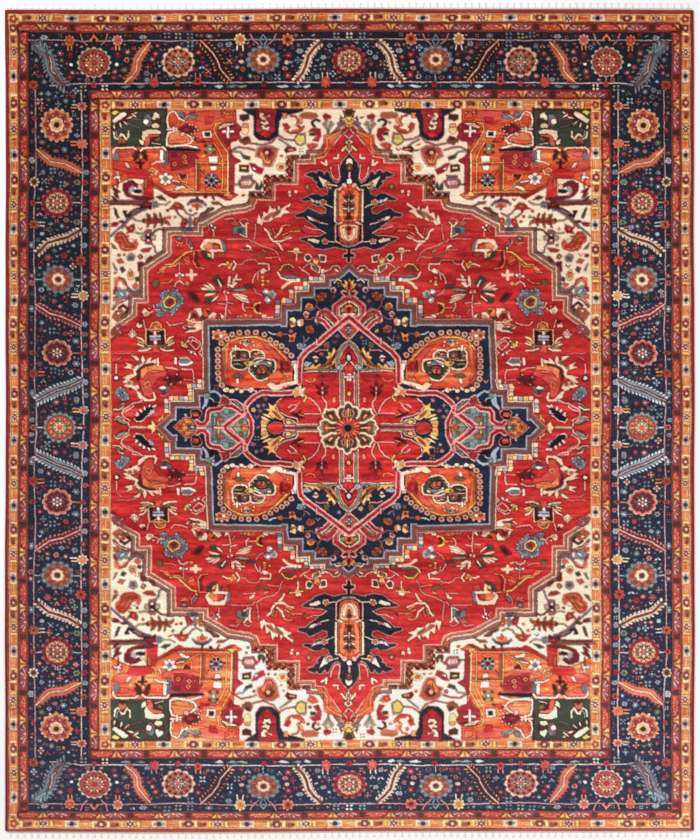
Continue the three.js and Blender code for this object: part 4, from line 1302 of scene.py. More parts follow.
REDFIELD = '''
# near the pendant
s i 3.0 289.4,192 295.6,191.4
s i 2.4 290,195 
e e 307,187,3,3.2
e o 307,187,1.4,1.6
l i 2.0 321,162.4 326,165.4 325.6,160.6
l i 1.6 333.6,158.4 338,158.6 338,154.8
# cream serrated leaf with a rust midrib
p i 257,223 259,214 262,221 264,211 268,214 270,205 273.6,209 275,207.4 277.6,212 278.4,204.6 281,209 291,202.4 291,205 285,209 290.6,212 284,213.4 281,217 274,218 270,221.4 264,222 262,225
l x 2.0 265,219 272,214 280,210.6
p Q 266,218.6 270,217 268,220.6
l e 1.4 273.6,216.6 279,212.4
# slate and cream motif
p s 233,228 239,224.6 243,227 247,224 247,237 243,236.6 240,233 233,234.6
l i 1.8 240,221.6 244,226.6 248,222.6
l i 1.6 246.4,224 246.6,237
p E 239,228.4 243,229 241.6,232.4 238,232
l p 1.4 225,219.6 233,218 236,222
l p 1.2 239,222 241.6,219.6 246,218 248,220
p x 230,222 237,221 240,225 234,226
l i 1.2 240,234 245,236.6
# pink vines
l p 1.3 227,239 249,239
l p 1.4 249,239 252.4,242.4 254.4,239 256,228 255.4,224
l p 1.4 254,241.6 262,246 272,248.6 277,252 279,258 281,261
l o 1.2 266,257.8 277,256.6
l i 2.0 247,245.6 249.6,246.4 252,250.4
l p 1.2 240,249.6 252,250
# palmette
l i 2.0 265,229 268.6,232 270.4,237.6 274,241
l i 1.8 274,241 279,244 282.4,249.6
l i 1.8 275,237 280,232.4 282.4,226 
l i 1.8 273,241 281,241.2 286,238.6 291,237.2
l o 1.5 282,226 286,224.6 290,225
l Q 2.2 273,228 275,234
l o 1.5 283,235 287.6,232.4 292,229.6
l o 1.5 284,238 290,235
l x 2.0 270,228.6 272,235
l Q 1.5 286,229 291,233
l e 1.8 255,254 259,256.6 263,255.6 265.4,253
l o 1.3 262,250 265.6,251.4
# cream-gold flower on its stem
p i 293,250 295,247.4 299,248 300,252 296,254.4 294,253
s e 2.0 289,252.6 301,254
l y 1.2 288,250.6 302,252
l i 1.3 296.6,254 296.6,260.6
l o 1.4 300,231 290,231
s e 1.6 301.6,229.6 303.4,231.6
# green triad outlined in cream
c i 1.5 304.6,258.4 306,254.4 309.6,254.6 312,257.6 309,261.4 306,260.4
p E 306,256.6 309,255.6 311,258.4 307,260
c i 1.5 319,255 322.6,255.4 326,256.4 325.4,262 321,261.6
p E 320.4,257 324.6,257.4 323.6,260.8 321,260.4
c i 1.5 311.6,264 316,265.6 320,266.6 319,272.6 314.6,270.4 311.6,268
p e 312.6,265.4 316,266.6 318.4,268.4 317.6,271.4 314,269.4
p G 313,259 316,256.6 319,260 318,264.4 314,263.6
e S 316.4,258,1.5,1.3
l P 1.2 303,268 307,264.4 311,263.4
l P 1.3 299,266.6 303,270.4 308,273 310,277.6
# gold flower, left
p y 225,264 227.6,260.6 230,263.4 233,262.4 231.6,266 230,269 227.4,267
p O 228,264 230.4,264 230,266 228,266
l i 1.5 219,266 223,264 226,264.4
l i 1.5 234,261 236.4,264.4 233,270 
l p 1.3 238,264.6 243,264 244.6,260.8 249,259.6 255,259.6 258,262
# bracket
l i 1.4 258,263.6 268.6,263.8 269.2,269 265.6,271.4
p i 260.6,269.4 264,268 267,270.6 263,273.6 260,273
l P 1.3 260,270 255,274.6 252.6,280 252.4,283
l P 1.1 258,272 257.4,279.6
# olive pair
s e 1.9 281,266 282.6,269.6 285.6,266.4 287,269.6 289.6,266 291,269.4 284,268 288.4,268
l y 1.2 280,270 284,264.4 290,264 294,267
# grey stripe and cream strokes
p s 281,276.6 286,274.8 296,275 299,277.4 292,278.6 284,278.8
l i 1.6 277.6,272 280.6,277.4 286,279.4 299,279.4
l i 2.6 299,280.6 292,280.4 287,283 282,288
e w 298,279.6,2,2
s y 2.2 262.6,281 267.6,281
e o 262.4,277.4,1.6,1.6
e y 262.4,284.4,1.6,1.6
# grey-white rose
e l 266,292,3.6,3.4
e l 272,294,4.2,4.0
e l 267.6,299.6,3.2,3.4
e w 266,291.6,2.0,1.8
e w 272.4,294,2.6,2.4
e w 268,300,1.6,1.6
e s 272,294,1.6,1.5
l s 1.0 263.6,294 268,295.4 270,298
l p 1.3 253,287 256,292.6 261,295.4
# radiating palmette
t i 3.2 228,288 229.6,275
t i 3.2 231,288 237.6,273.4
l i 2.0 228,284 232,286.6 236,283
l i 1.6 233,280 241,279.4
p E 243,284 252,284.6 253,288 246,287.6
t e 3.6 230,291 246,288
t T 2.6 231,290.4 247,289.4
t i 3.6 231,294.4 250,303
t i 3.0 231,294 248,297
t i 2.4 236,296 249,300
t i 3.8 219,292 200,288.4
t i 2.6 218,291 202,284.6
t i 2.4 216,290 207,282.6
t i 2.4 216,293 203,296
l E 1.4 206,291.4 217,291.8
p E 213,278 218,275.4 221,281 224,283 222,287 216,285 213,282
l i 1.5 217.6,280 221,286.6
p E 205,299 212,297.4 216,300 210,303.4 205,303
t i 2.0 219,295 211,302
e Q 225.6,292,3.6,3.2
s P 2.4 224,291.6 227.6,292.6
l P 1.4 226,296 226.4,304 225,320
l P 1.2 226,302 233,303.6
l P 1.2 224,304 218,303.4
l p 1.3 228,309 231,314
# gold C, low edge ornaments
l y 1.8 260,302.6 255,304 253.6,308 256,312 261,313.6
l K 1.4 259,305 257,308 258.6,311.4
l o 1.3 245,307.6 254,307.6
l P 1.4 243,303 242.4,307 245,311
p o 240,315.4 245,314.2 253,314.4 253,319 241,319
s x 1.6 243.4,316.6 248,316.6 252,316.6
p i 262,314.6 266,314.4 267,318 262,318.4
p T 235,319 239,314.6 240.4,318.6
l i 1.2 228,319.2 262,319.2 267,317.4 273,317
# cream, olive and orange ornament
p i 200,247 204,239.6 211,239 221,239.4 225,245 226,251 222,252 220,244 215,242.4 210,243 208,250 203,251
p o 204,247 209,243 214,244 216,252 211,251.4 207,252
p s 221,240 225.4,243 226.4,250 223.4,250.6 223,245
p Q 213,245 219,246 218,251 214,250
p i 207,249.6 223,249.2 224,251.4 214,252 213.6,258.4 211,258.4 211,252.4
p E 201,251 206,252.4 211,258 213,260.4 207,259.4 203,256
p y 207,253 210.6,254 211,257.4 208,256.6
p Q 217,252.6 224,252.4 225,256 219,257
l x 1.3 218,254.4 224,254.4
l P 1.3 214,229 214,236
s w 2.0 211.6,225.6 215,227.6 213,230
l p 1.0 207,226 210,229 206,233
# grey-pink leaf, orange leaf
p M 186,240 190,240.4 194,246 193,248.6 189,246
p s 188,241.4 191,242.6 193,246.4 190,245.6
l p 1.2 187,239.6 186.6,243 191,249
l g 1.4 192,248 191,251.4
l o 1.2 192,251 202,250.4
p e 176,237 181,236.6 183,239 181,241 177,240.6
p b 177.6,238 181,237.8 181,240 178,240
l o 1.4 176,243 183,243.6
l o 1.2 177.6,246 179,243 181.6,246
p S 183,258 189,255.6 191,262 188,266.6 184,263
l o 1.3 184,259.6 190,262.4
l y 1.6 166,265 173,264.6 178,260 183,255.4 187,252.4 192,251.6
l G 1.0 168,267 175,266.4 180,262
l o 1.3 194.4,252 193.6,262 196,267.4 203.6,269
l m 1.6 196.6,253 196,262 199,266.6
p o 159,270 163,266.6 168,265.8 164,271 160,273
l o 1.2 157,272.6 164,272
# stem, crosses, fork
l p 1.4 179.4,263.6 179.4,272
s w 2.6 176.6,276 179.6,274.6 182.4,275.6
l p 1.3 179.4,276 179.6,281 
l P 1.6 174.4,287 176,283.4 179.6,281.4 184,285
l i 2.8 186.6,275.2 195.8,275.2
l i 2.8 191.2,270.8 191.2,279.6
e o 187,284,2.4,2.2
l o 1.2 160,283.6 168,283 172,279.6
p e 152,283 154.6,279.6 158.4,280.6 158.4,286.6 153,287.4
# slate serrated flower
p b 159,295 164,290 168,292.6 174,288.4 178,292.6 181,296 184,300 181,303 180,308 176,311 174,316 169,312 164,315 160,318 155.4,316.4 158,311 155,306 159,303.6 161,299
s L 2.0 162,293 168,291 177,291 182,299 182,304 177,310 172,315 165,311 159,316 157,311 157,305 162,298
s M 2.4 173,290 166,295 175,296 160,309 170,309 178,302 163,313
s s 2.2 170,294 178,298 164,303 174,305 168,312
c y 1.8 163.4,302 168,296.6 174,299.6 175,304.4 170,308 165,306.6
p T 165,302 169,298 173.6,301 173.6,304 169.6,306.6 166,305
e c 169.6,302.6,3.4,3.4
e m 169.6,302.6,1.5,1.6
# dark-red leaf, cream flower
p m 187,293.6 193,292.4 197,296 199,302 195,303 190,298
p K 191,294 195,296 197,300 193,298
p i 142,312.4 144,308 146.4,309.6 148.4,312 151.6,312 148,316 144,316
s y 1.6 146.4,313.6 149,308.6
l P 1.3 153,305 155,309 151,312.6
l P 1.2 155,309.6 160,310
# tulip cluster
p i 187,321 190,312 195,308.6 201,308.4 203,314 200,318 196,312 192,313 190,319
p i 182,326.6 188,325 193,327 198,322 203,321 203,329 196,332 185,333.6 190,330.4 184,329
p o 188,321 194,318.6 197,321.6 194,325.6 188,325
p x 191,310 196,311.6 199,316 195,318 191,315
p k 193,314 197,314.6 196,318 193,317
p O 203,309 210,308.4 212,313 207,317 203,316
p k 206,310.4 210.4,311 209,314
p i 208,317 213,312 217,313.6 214,318.6 209,319.6
p P 213,316 217,316.4 215,319.6 211,320
p E 201,317 207,318 206,321 202,320
p e 217,318 221,315.6 224,319 221,320.6
p i 220,313 224,316 224,319 222,318.6
l i 1.4 187,320 193,322.6 202,322.4
l k 1.6 188,329 195,328.8
p k 184,326.8 188,326.4 187,328.4
l P 1.2 167,322 170,325.6 178,325 183,323
l P 1.3 189,338.6 193,337.4 199,341.6 202,345
# cream flower, small leaf
p i 129.6,332.6 132.6,329.6 136,331.6 136,336 132.4,338.4 129.6,336
s w 2.0 132.8,333.6 
s P 1.6 129,334 136.6,334 132.8,329.6
p i 136.4,325.6 139,322 143,321.6 142,327 138,327.4
p k 138.6,321 142,320 143.4,323.4 140,324
l P 1.2 143.6,320 145.6,328
# vase with its shell
c G 1.4 150.6,329 152.4,323.4 157,322 161,324.4 162,328.6 157,330.6
p y 152.4,327.6 154,324.6 157.4,323.4 160.4,326 160,328.6 156,329.4
l O 1.1 153,327.6 156,325 159.6,327.6
c g 1.5 146.4,329.6 165.4,329.6 165.4,346 146.4,346
p m 147.4,330.6 164.4,330.6 164.4,345.2 147.4,345.2
p n 148.4,331 153,331 150,336 149,344 147.8,344
p n 163.6,331 158.6,331 162,336 163.2,344 164.2,344
l o 1.3 149,329.6 153,331.6 159,331.6 163,329.6
l w 2.6 155.6,332.6 155.6,343.6
l l 2.4 151,336.6 160.4,336.6
l L 1.8 151,339.6 160.4,339.6
p Q 152.6,346.6 159,346.4 160,352 153,352.4
l i 1.7 137.6,337 142,338.8 145,343
l i 1.5 138,344 142.6,345.4 146,349
l e 1.7 146.4,346.6 150.6,349
l i 1.6 139,350.4 146,350.2 150.6,348.6
l T 1.4 141,347.6 147,348
l y 1.3 139,341.4 144,343.4
l i 1.7 173.6,337 169.4,338.8 166.4,343
l i 1.5 174,343.4 169,345 165.4,348
l e 2.2 159.4,347.6 165,345.8 170,348.6
l i 1.6 161,348.8 166,350.8 173.6,350.6
l y 1.3 172.6,341 168,343.4
# gold flower by the medallion
p y 181,342 185,340.6 188,342.6 189,346 184.6,348.6 181.6,346
s E 1.8 184.6,342.4 187.6,344.6
s i 1.8 182.6,346 187,347.4 188.6,341.6
c P 1.3 190,344 193,340.4 199,343.6 200,347 196,350
l P 1.3 188.6,350.6 194,352.4 197,356
s w 2.0 191.6,353 195.4,354.4
# cream antlers round the salmon tongue
p i 131,355.4 137,356 140,361 143,355 145,360 143,365 149,358 152,357.4 150,361.4 157,358.6 159.4,363.6 152,365.6 147,364 141,368 138,374 134,377 129,380 136,383 139,387 139,392 143,396 147,399.4 153.4,399 153,394.4 150.8,391.6 154,392.4 156,398 154,401.4 144,401.4 138,397.4 136,391 130,388 123,386 127,383 122,382.4 126,378.6 122,377.6 128,375.4 134,374 133,369.6 127,368.4 123,367.4 128,365.4 124.4,361.4 130,364 136,366.4 138,364 136,359.6
p Q 140,370 144,366.6 152,364.6 160,364.4 166,368.4 166,376 158,378 152,386 152,392 151,398 144,396.4 141,388 139.6,379
p Q 139,372 143,367 150,364.6 158,363.6 164.6,365.4 166,371 150,374
p o 140.6,369.6 147,365.6 155,364.8 163,366 164,370.4 155,370 147,372 141.6,379
c o 1.2 144,384 148,381.4 150,385.6 146,388
l o 1.4 148,369 152,372 158,371.6 
l k 2.0 137.4,371.6 139.6,368.4 145,365.4 152,364.4
l k 1.8 137.8,371.6 138,379.6
p e 137,361 140,359.6 141.6,362.6 138.6,365
s x 2.6 129,383 134,384 133,367
s k 1.4 130,389 138,390
l i 1.8 158,358.6 157.6,366
l P 1.3 165,368 172,368 178,370.6
# pill
l w 2.4 175.6,359 175.6,364
p w 180,358 188,357.6 191.6,362 189,365.6 180,366.4 178,362
p s 179.4,359.6 187,358.8 189.6,361.6 184,363.6 179.6,362.4
l w 2.0 180,365 187,365.4 192,362.6
# bracket and dark diamond
l P 1.4 182,369.6 192,370 193.4,374 193.8,385
p m 163,380 170,376.4 177,376 183,379.6 178,381.6 171,382.6
t m 2.2 176,378 179,372.6
t k 2.2 170,381 167,385.6
t m 2.0 170,379 168,374
t k 2.2 177,381 173,386
p k 170,380 176,379 180,379.8 176,381
s P 1.5 171,384.6 177,375 167,377.6 180.6,383
l p 1.2 184,380 193,380.6
# winged figure
p s 155,388.6 160,386.6 166,386.4 171,388.6 167,391.4 163,394.4 160,391
p w 158,388 163.4,386 166,388.6 163,390.6
p E 160.6,390 165,390 163.6,394
l p 1.2 160.4,395.4 164,396.4 168,394
# slate leaf, line and knob
p b 117,387 121,386 124,389.6 128.4,395 129,400.4 121,400.4 117.4,396.4 114,394
s L 2.2 120,388 124,392.4 127.6,398.4 118,395.6 122,399.6
s E 2.0 121.6,393.4
p s 119,391.6 122.6,393 124,397 121,396
l P 1.5 116,364 116,373
e m 116,378,3.0,3.0
e w 116,377.8,1.9,1.9
l p 1.0 115,352.6 120,353.6 127,352.8 134,354.4
l p 1.2 117,360 121,357
# olive leaves and the vine
p e 112.6,409.4 117,407.6 119.4,404.6 123,403.6 123.6,406.6 120,410.6 114,411.4
l i 1.1 112.4,409.6 117,407.4 119.4,404.4 123.2,403.4
p E 114.6,419.4 118,418 124,420.6 127,424.4 121,424.4 117,422
l i 1.1 114,419.6 118,417.8 124,420.2
p T 114.6,437.4 118,433.6 124,431 127,431.6 123,435.6 117,438.6
l i 1.1 114.4,437.6 118,438.8 124,436
p e 113,446 118,446.4 123,449.6 120,450.6 115,448.6
l i 1.1 113,445.6 118,445.6 123,448.8
l P 1.4 142,401.6 136,402.6 132,402.6 132.6,406.6 128,409.6 123,411.4 121,416 124,421 128,423.4 128.6,428 127.6,433 129,434.6
l P 1.4 129,434.6 124,437.6 121,441.6 122.6,446 128,448.6 132,451.6 137,452.4 142,455
l o 1.1 133,434.6 137,434.4
l P 1.8 129.6,428 146,428
# navy and white serrated leaves
p n 134,419.6 140,413 146,410 152,407.4 149,412.6 144,418 139,421.4
t w 1.9 139,415 134.6,415.6
t w 1.9 142,412 138.4,410.8
t w 1.9 145,410.4 143,407.6
t w 1.9 148,408.6 148.4,405.6
t w 1.9 150,407.6 155.4,406.2
t w 1.7 146,416 149.6,415
t w 1.7 149,412.6 153,411
l i 1.2 133.6,419 136,422 142,420.6 146,416
p B 139,417.6 144,413.6 148,411.6 144,416.4
p n 135,435.4 141,435 146,440 149,445 153,449 148,447.6 142,443 138,439.6
t w 1.9 138,439.6 135,443
t w 1.9 141,442.6 139,446
t w 1.9 144,445 143.6,449
t w 1.9 148,447.4 149.6,450.6
t w 1.9 147,441.6 151.4,440.4
t w 1.7 149.6,444.4 154.4,443.6
t w 1.7 151,448 156.4,450
p L 148,440.6 154,442 150,445
# gold star at the point, gold outline
p g 146,428 151,425.6 151,421.6 154,425 156.6,428 154,431 151.4,434.6 151,430.6
l o 1.7 156,426.6 161,421.2 169,414.4
l x 1.0 157,424.2 163,418 169.4,412.4
l y 1.6 158,434 162,439
s y 2.0 161.6,418.6
'''

STEPS = '''
s iyL 4.6 171,398.8 176,398.8 181,398.8 186,398.8 191,398.8
s igb 4.4 190,394 190,389.6
s gLi 4.6 189,386.6 194,386.6 199,386.6
s iLy 4.2 199.6,381.6 
s iLi 4.2 165.8,401.6 165.8,406.4 165.8,411
s gLi 5.2 284,300.4 289,300.4 
s sil 4.6 277.6,302.4 277.6,307 277.6,311.6 277.6,315.8
s iol 4.6 291,291.6 291,296
s giL 4.4 296.4,288 301,288 305.6,288
s sgy 4.2 305,279.4 305,283.6
s iLi 4.4 311,278.6 316,279 321,278.8
s PiP 3.8 322.4,274.6 322.8,271 
l i 1.4 325,271.6 329,269.6 334,268.4 338,271.6
l i 1.2 203,321 203,388
l i 1.2 193.2,389 203,389 203,380
l i 1.2 169,401.8 193,401.8 193,390
l i 1.2 168.8,402 168.8,413
l p 1.2 206,319.4 270,319.2 281.2,317.6 281.2,304 295.2,304
l i 1.2 295.2,303 295.2,291 308.2,291 308.2,282
l i 1.3 308.2,281.6 324,281.6 324,275
l e 2.2 331,269.6 336,266.4 341,268
l P 1.1 329,270.6 333,265.8 338,266 341,269
l P 1.2 199.6,341 202.4,349.6 199,353 202.6,356.6
'''

PENDANT = '''
# above the peak
e R 349,131.6,4.4,4.6
l P 1.3 343.6,134 349,138.6 354.4,134
l P 1.1 344,134 347.6,129.6
p i 345,142 349,139.6 353,142 351.6,144.6 354.6,147.6 352,149 350,153 348,153 346,149 343.4,147.6 346.4,144.6
s S 1.5 347,145.6 351,145.6 349,142.4 349,149
l g 2.0 342,150.6 346,146.6
l g 2.0 356,150.6 352,146.6
l w 1.3 349,151 349,155
# navy palmette with its pink line
c P 2.4 349,154.6 345,158.6 341.4,163 339,172 340.6,180 337,184 333,181.6 330,177.6 328,172.4 326,171.6 324,175.4 321,171.4 318,170.6 316,173.4 312.6,171.6 305,174.6 308,176.4 313,177.4 313,180 317.6,181.6 316,184 320,188.6 324.6,188.4 328.6,190.4 327.6,194.6 322,196.8 318,194 312,194.4 308,196.6 301,199.6 305,200.6 312,200 313,203 318,205.4 322,205 327,208.6 326,213.4 321,214.4 316,211.6 308,208.6 304,212 296,214.4 297,217 304,216.6 309,221.4 314,224.6 319,228.6 326,233 320,236.4 310,237 300,238.4 304,240.6 310,243.4 315,247.4 324,249.4 334,246.6 342,248.6 349,248.6
p N 349,155 345,158.6 341.4,163 339,172 340.6,180 337,184 333,181.6 330,177.6 328,172.4 326,171.6 324,175.4 321,171.4 318,170.6 316,173.4 312.6,171.6 305,174.6 308,176.4 313,177.4 313,180 317.6,181.6 316,184 320,188.6 324.6,188.4 328.6,190.4 327.6,194.6 322,196.8 318,194 312,194.4 308,196.6 301,199.6 305,200.6 312,200 313,203 318,205.4 322,205 327,208.6 326,213.4 321,214.4 316,211.6 308,208.6 304,212 296,214.4 297,217 304,216.6 309,221.4 314,224.6 319,228.6 326,233 320,236.4 310,237 300,238.4 304,240.6 310,243.4 315,247.4 324,249.4 334,246.6 342,248.6 349.4,248.6 349.4,155
# inlets of the field
p R 330,165 337,163 338.4,170 339.6,178 337,180.6 332.6,177 330.6,171
l P 1.2 330,167 331,174 333.6,178.6 337,180.4 339.4,178 338,165
p R 312,189 318,189.6 323,190.6 326.6,192.6 324,195 318,193 312,192
p R 314,206.6 320,207.4 325,210.6 322,212.6 316,209.6
p R 300,226 308,227.6 315,229.6 323,233 314,234.4 305,233
l P 1.0 305,226 312,229 320,229.6 325.6,233.4
# cream inner leaves with orange eyes
p i 318,176 323,179.4 327,181 325,184 323.6,188 321,182.6
p i 309,197.6 314,199.6 317,202.6 313,202 
p l 315,200 320,200.6 320,203.6 316,203
p i 307,216 313,217.6 317,221.4 313,221 309,219.6
p L 313,218 318,220 322,223.4 317,222.4
p i 308,238.6 314,238.6 320,240.6 318,243.4 313,242 308,240.6
c i 1.1 325,185 328,182.6 331.6,185 330,188.6 326.6,188
e Q 328.4,185.6,2.0,1.9
c i 1.1 320,201.6 323,199.8 326.6,202 325,205 321.6,204.4
e O 323.4,202.4,1.8,1.6
c i 1.1 322,240.6 325,238.8 328.6,241 327,243.8 323,243.4
e O 325.3,241.2,2.0,1.7
e Q 318.6,221,1.6,1.4
l i 1.1 328,184.4 337,186
l i 1.0 325,204 333,207.6
l i 1.0 328,241.6 335,242
l i 1.0 320,222.6 328,224.4
# eye near the tip
e i 349,163,3.2,4.6
e X 349,168,3.6,4.2
e e 349,168,2.6,3.0
e O 349,168.4,1.3,1.3
l P 1.6 349,172.6 349,180
e w 349,181.6,2.4,3.0
# orange core
l i 2.2 335.4,190.4 335.4,221.6
l i 1.6 335.4,190.4 338.4,189
p O 337.4,192 341,188.4 344,185.6 349.4,184.6 349.4,240 343,238.4 341.6,231 338.6,226.6 337.4,222
p o 338.6,193.6 343,190 345,193 343,210 345,224 342,222 339.4,214
p x 337.2,190 338.4,189.6 338.4,222 337.2,222
e P 344,185.6,2.6,2.4
p P 337,190.6 341,186 343,187.6 339.6,190.6
p E 349.4,193 346.4,195.6 347.6,198.6 346,201 348,206 349.4,206
l e 1.6 349,193 349,219
t k 2.0 348.4,199 343,195.6
t i 1.5 348.4,202 342.4,199.6
t k 2.0 348.4,207.6 343,204.4
t i 1.5 348.6,209 342.6,208.4
t X 2.2 348.4,213 343.6,210
t k 1.8 348.6,216 346,219.6
e T 349,200,1.4,1.7
e k 349,216,1.5,1.6
l l 1.0 349,207 349,212
# lower shield
p Q 338.4,222.6 349.4,222.6 349.4,244 345,243.6 340,241.6 338.6,234
p g 340,226 345,224.6 349.4,225 349.4,242 345,241 341,237
p o 342,228 346,226.4 349.4,226.4 349.4,228 344,229
l i 2.4 343.6,229.4 344,235 346.6,239 349.4,240
l i 1.8 338,224 342,222.4
p R 346.4,228 349.4,228 349.4,235 347.4,234
e k 349,228.6,1.8,1.6
l P 1.3 335.6,225 335.6,241.4 342,244.6 349.4,245.6
l P 1.0 337.6,222.6 335.4,226
p T 341.6,244.6 349.4,246 349.4,247.4 342,246.4
# small cross under the base
c P 1.5 349,249.6 347,250 347,253 343,254.4 343,257.4 347,257.6 347,262 349,262.6
p n 349.4,249 347.8,249.6 347.8,254.2 344,254.8 344,256.8 347.8,257 347.8,261.4 349.4,261.6
'''

MED_BAND = [(0.9, 'p'), (2.0, 'W'), (2.6, 'M'), (4.2, 'X'), (5.4, 'W'), (6.8, 'L')]

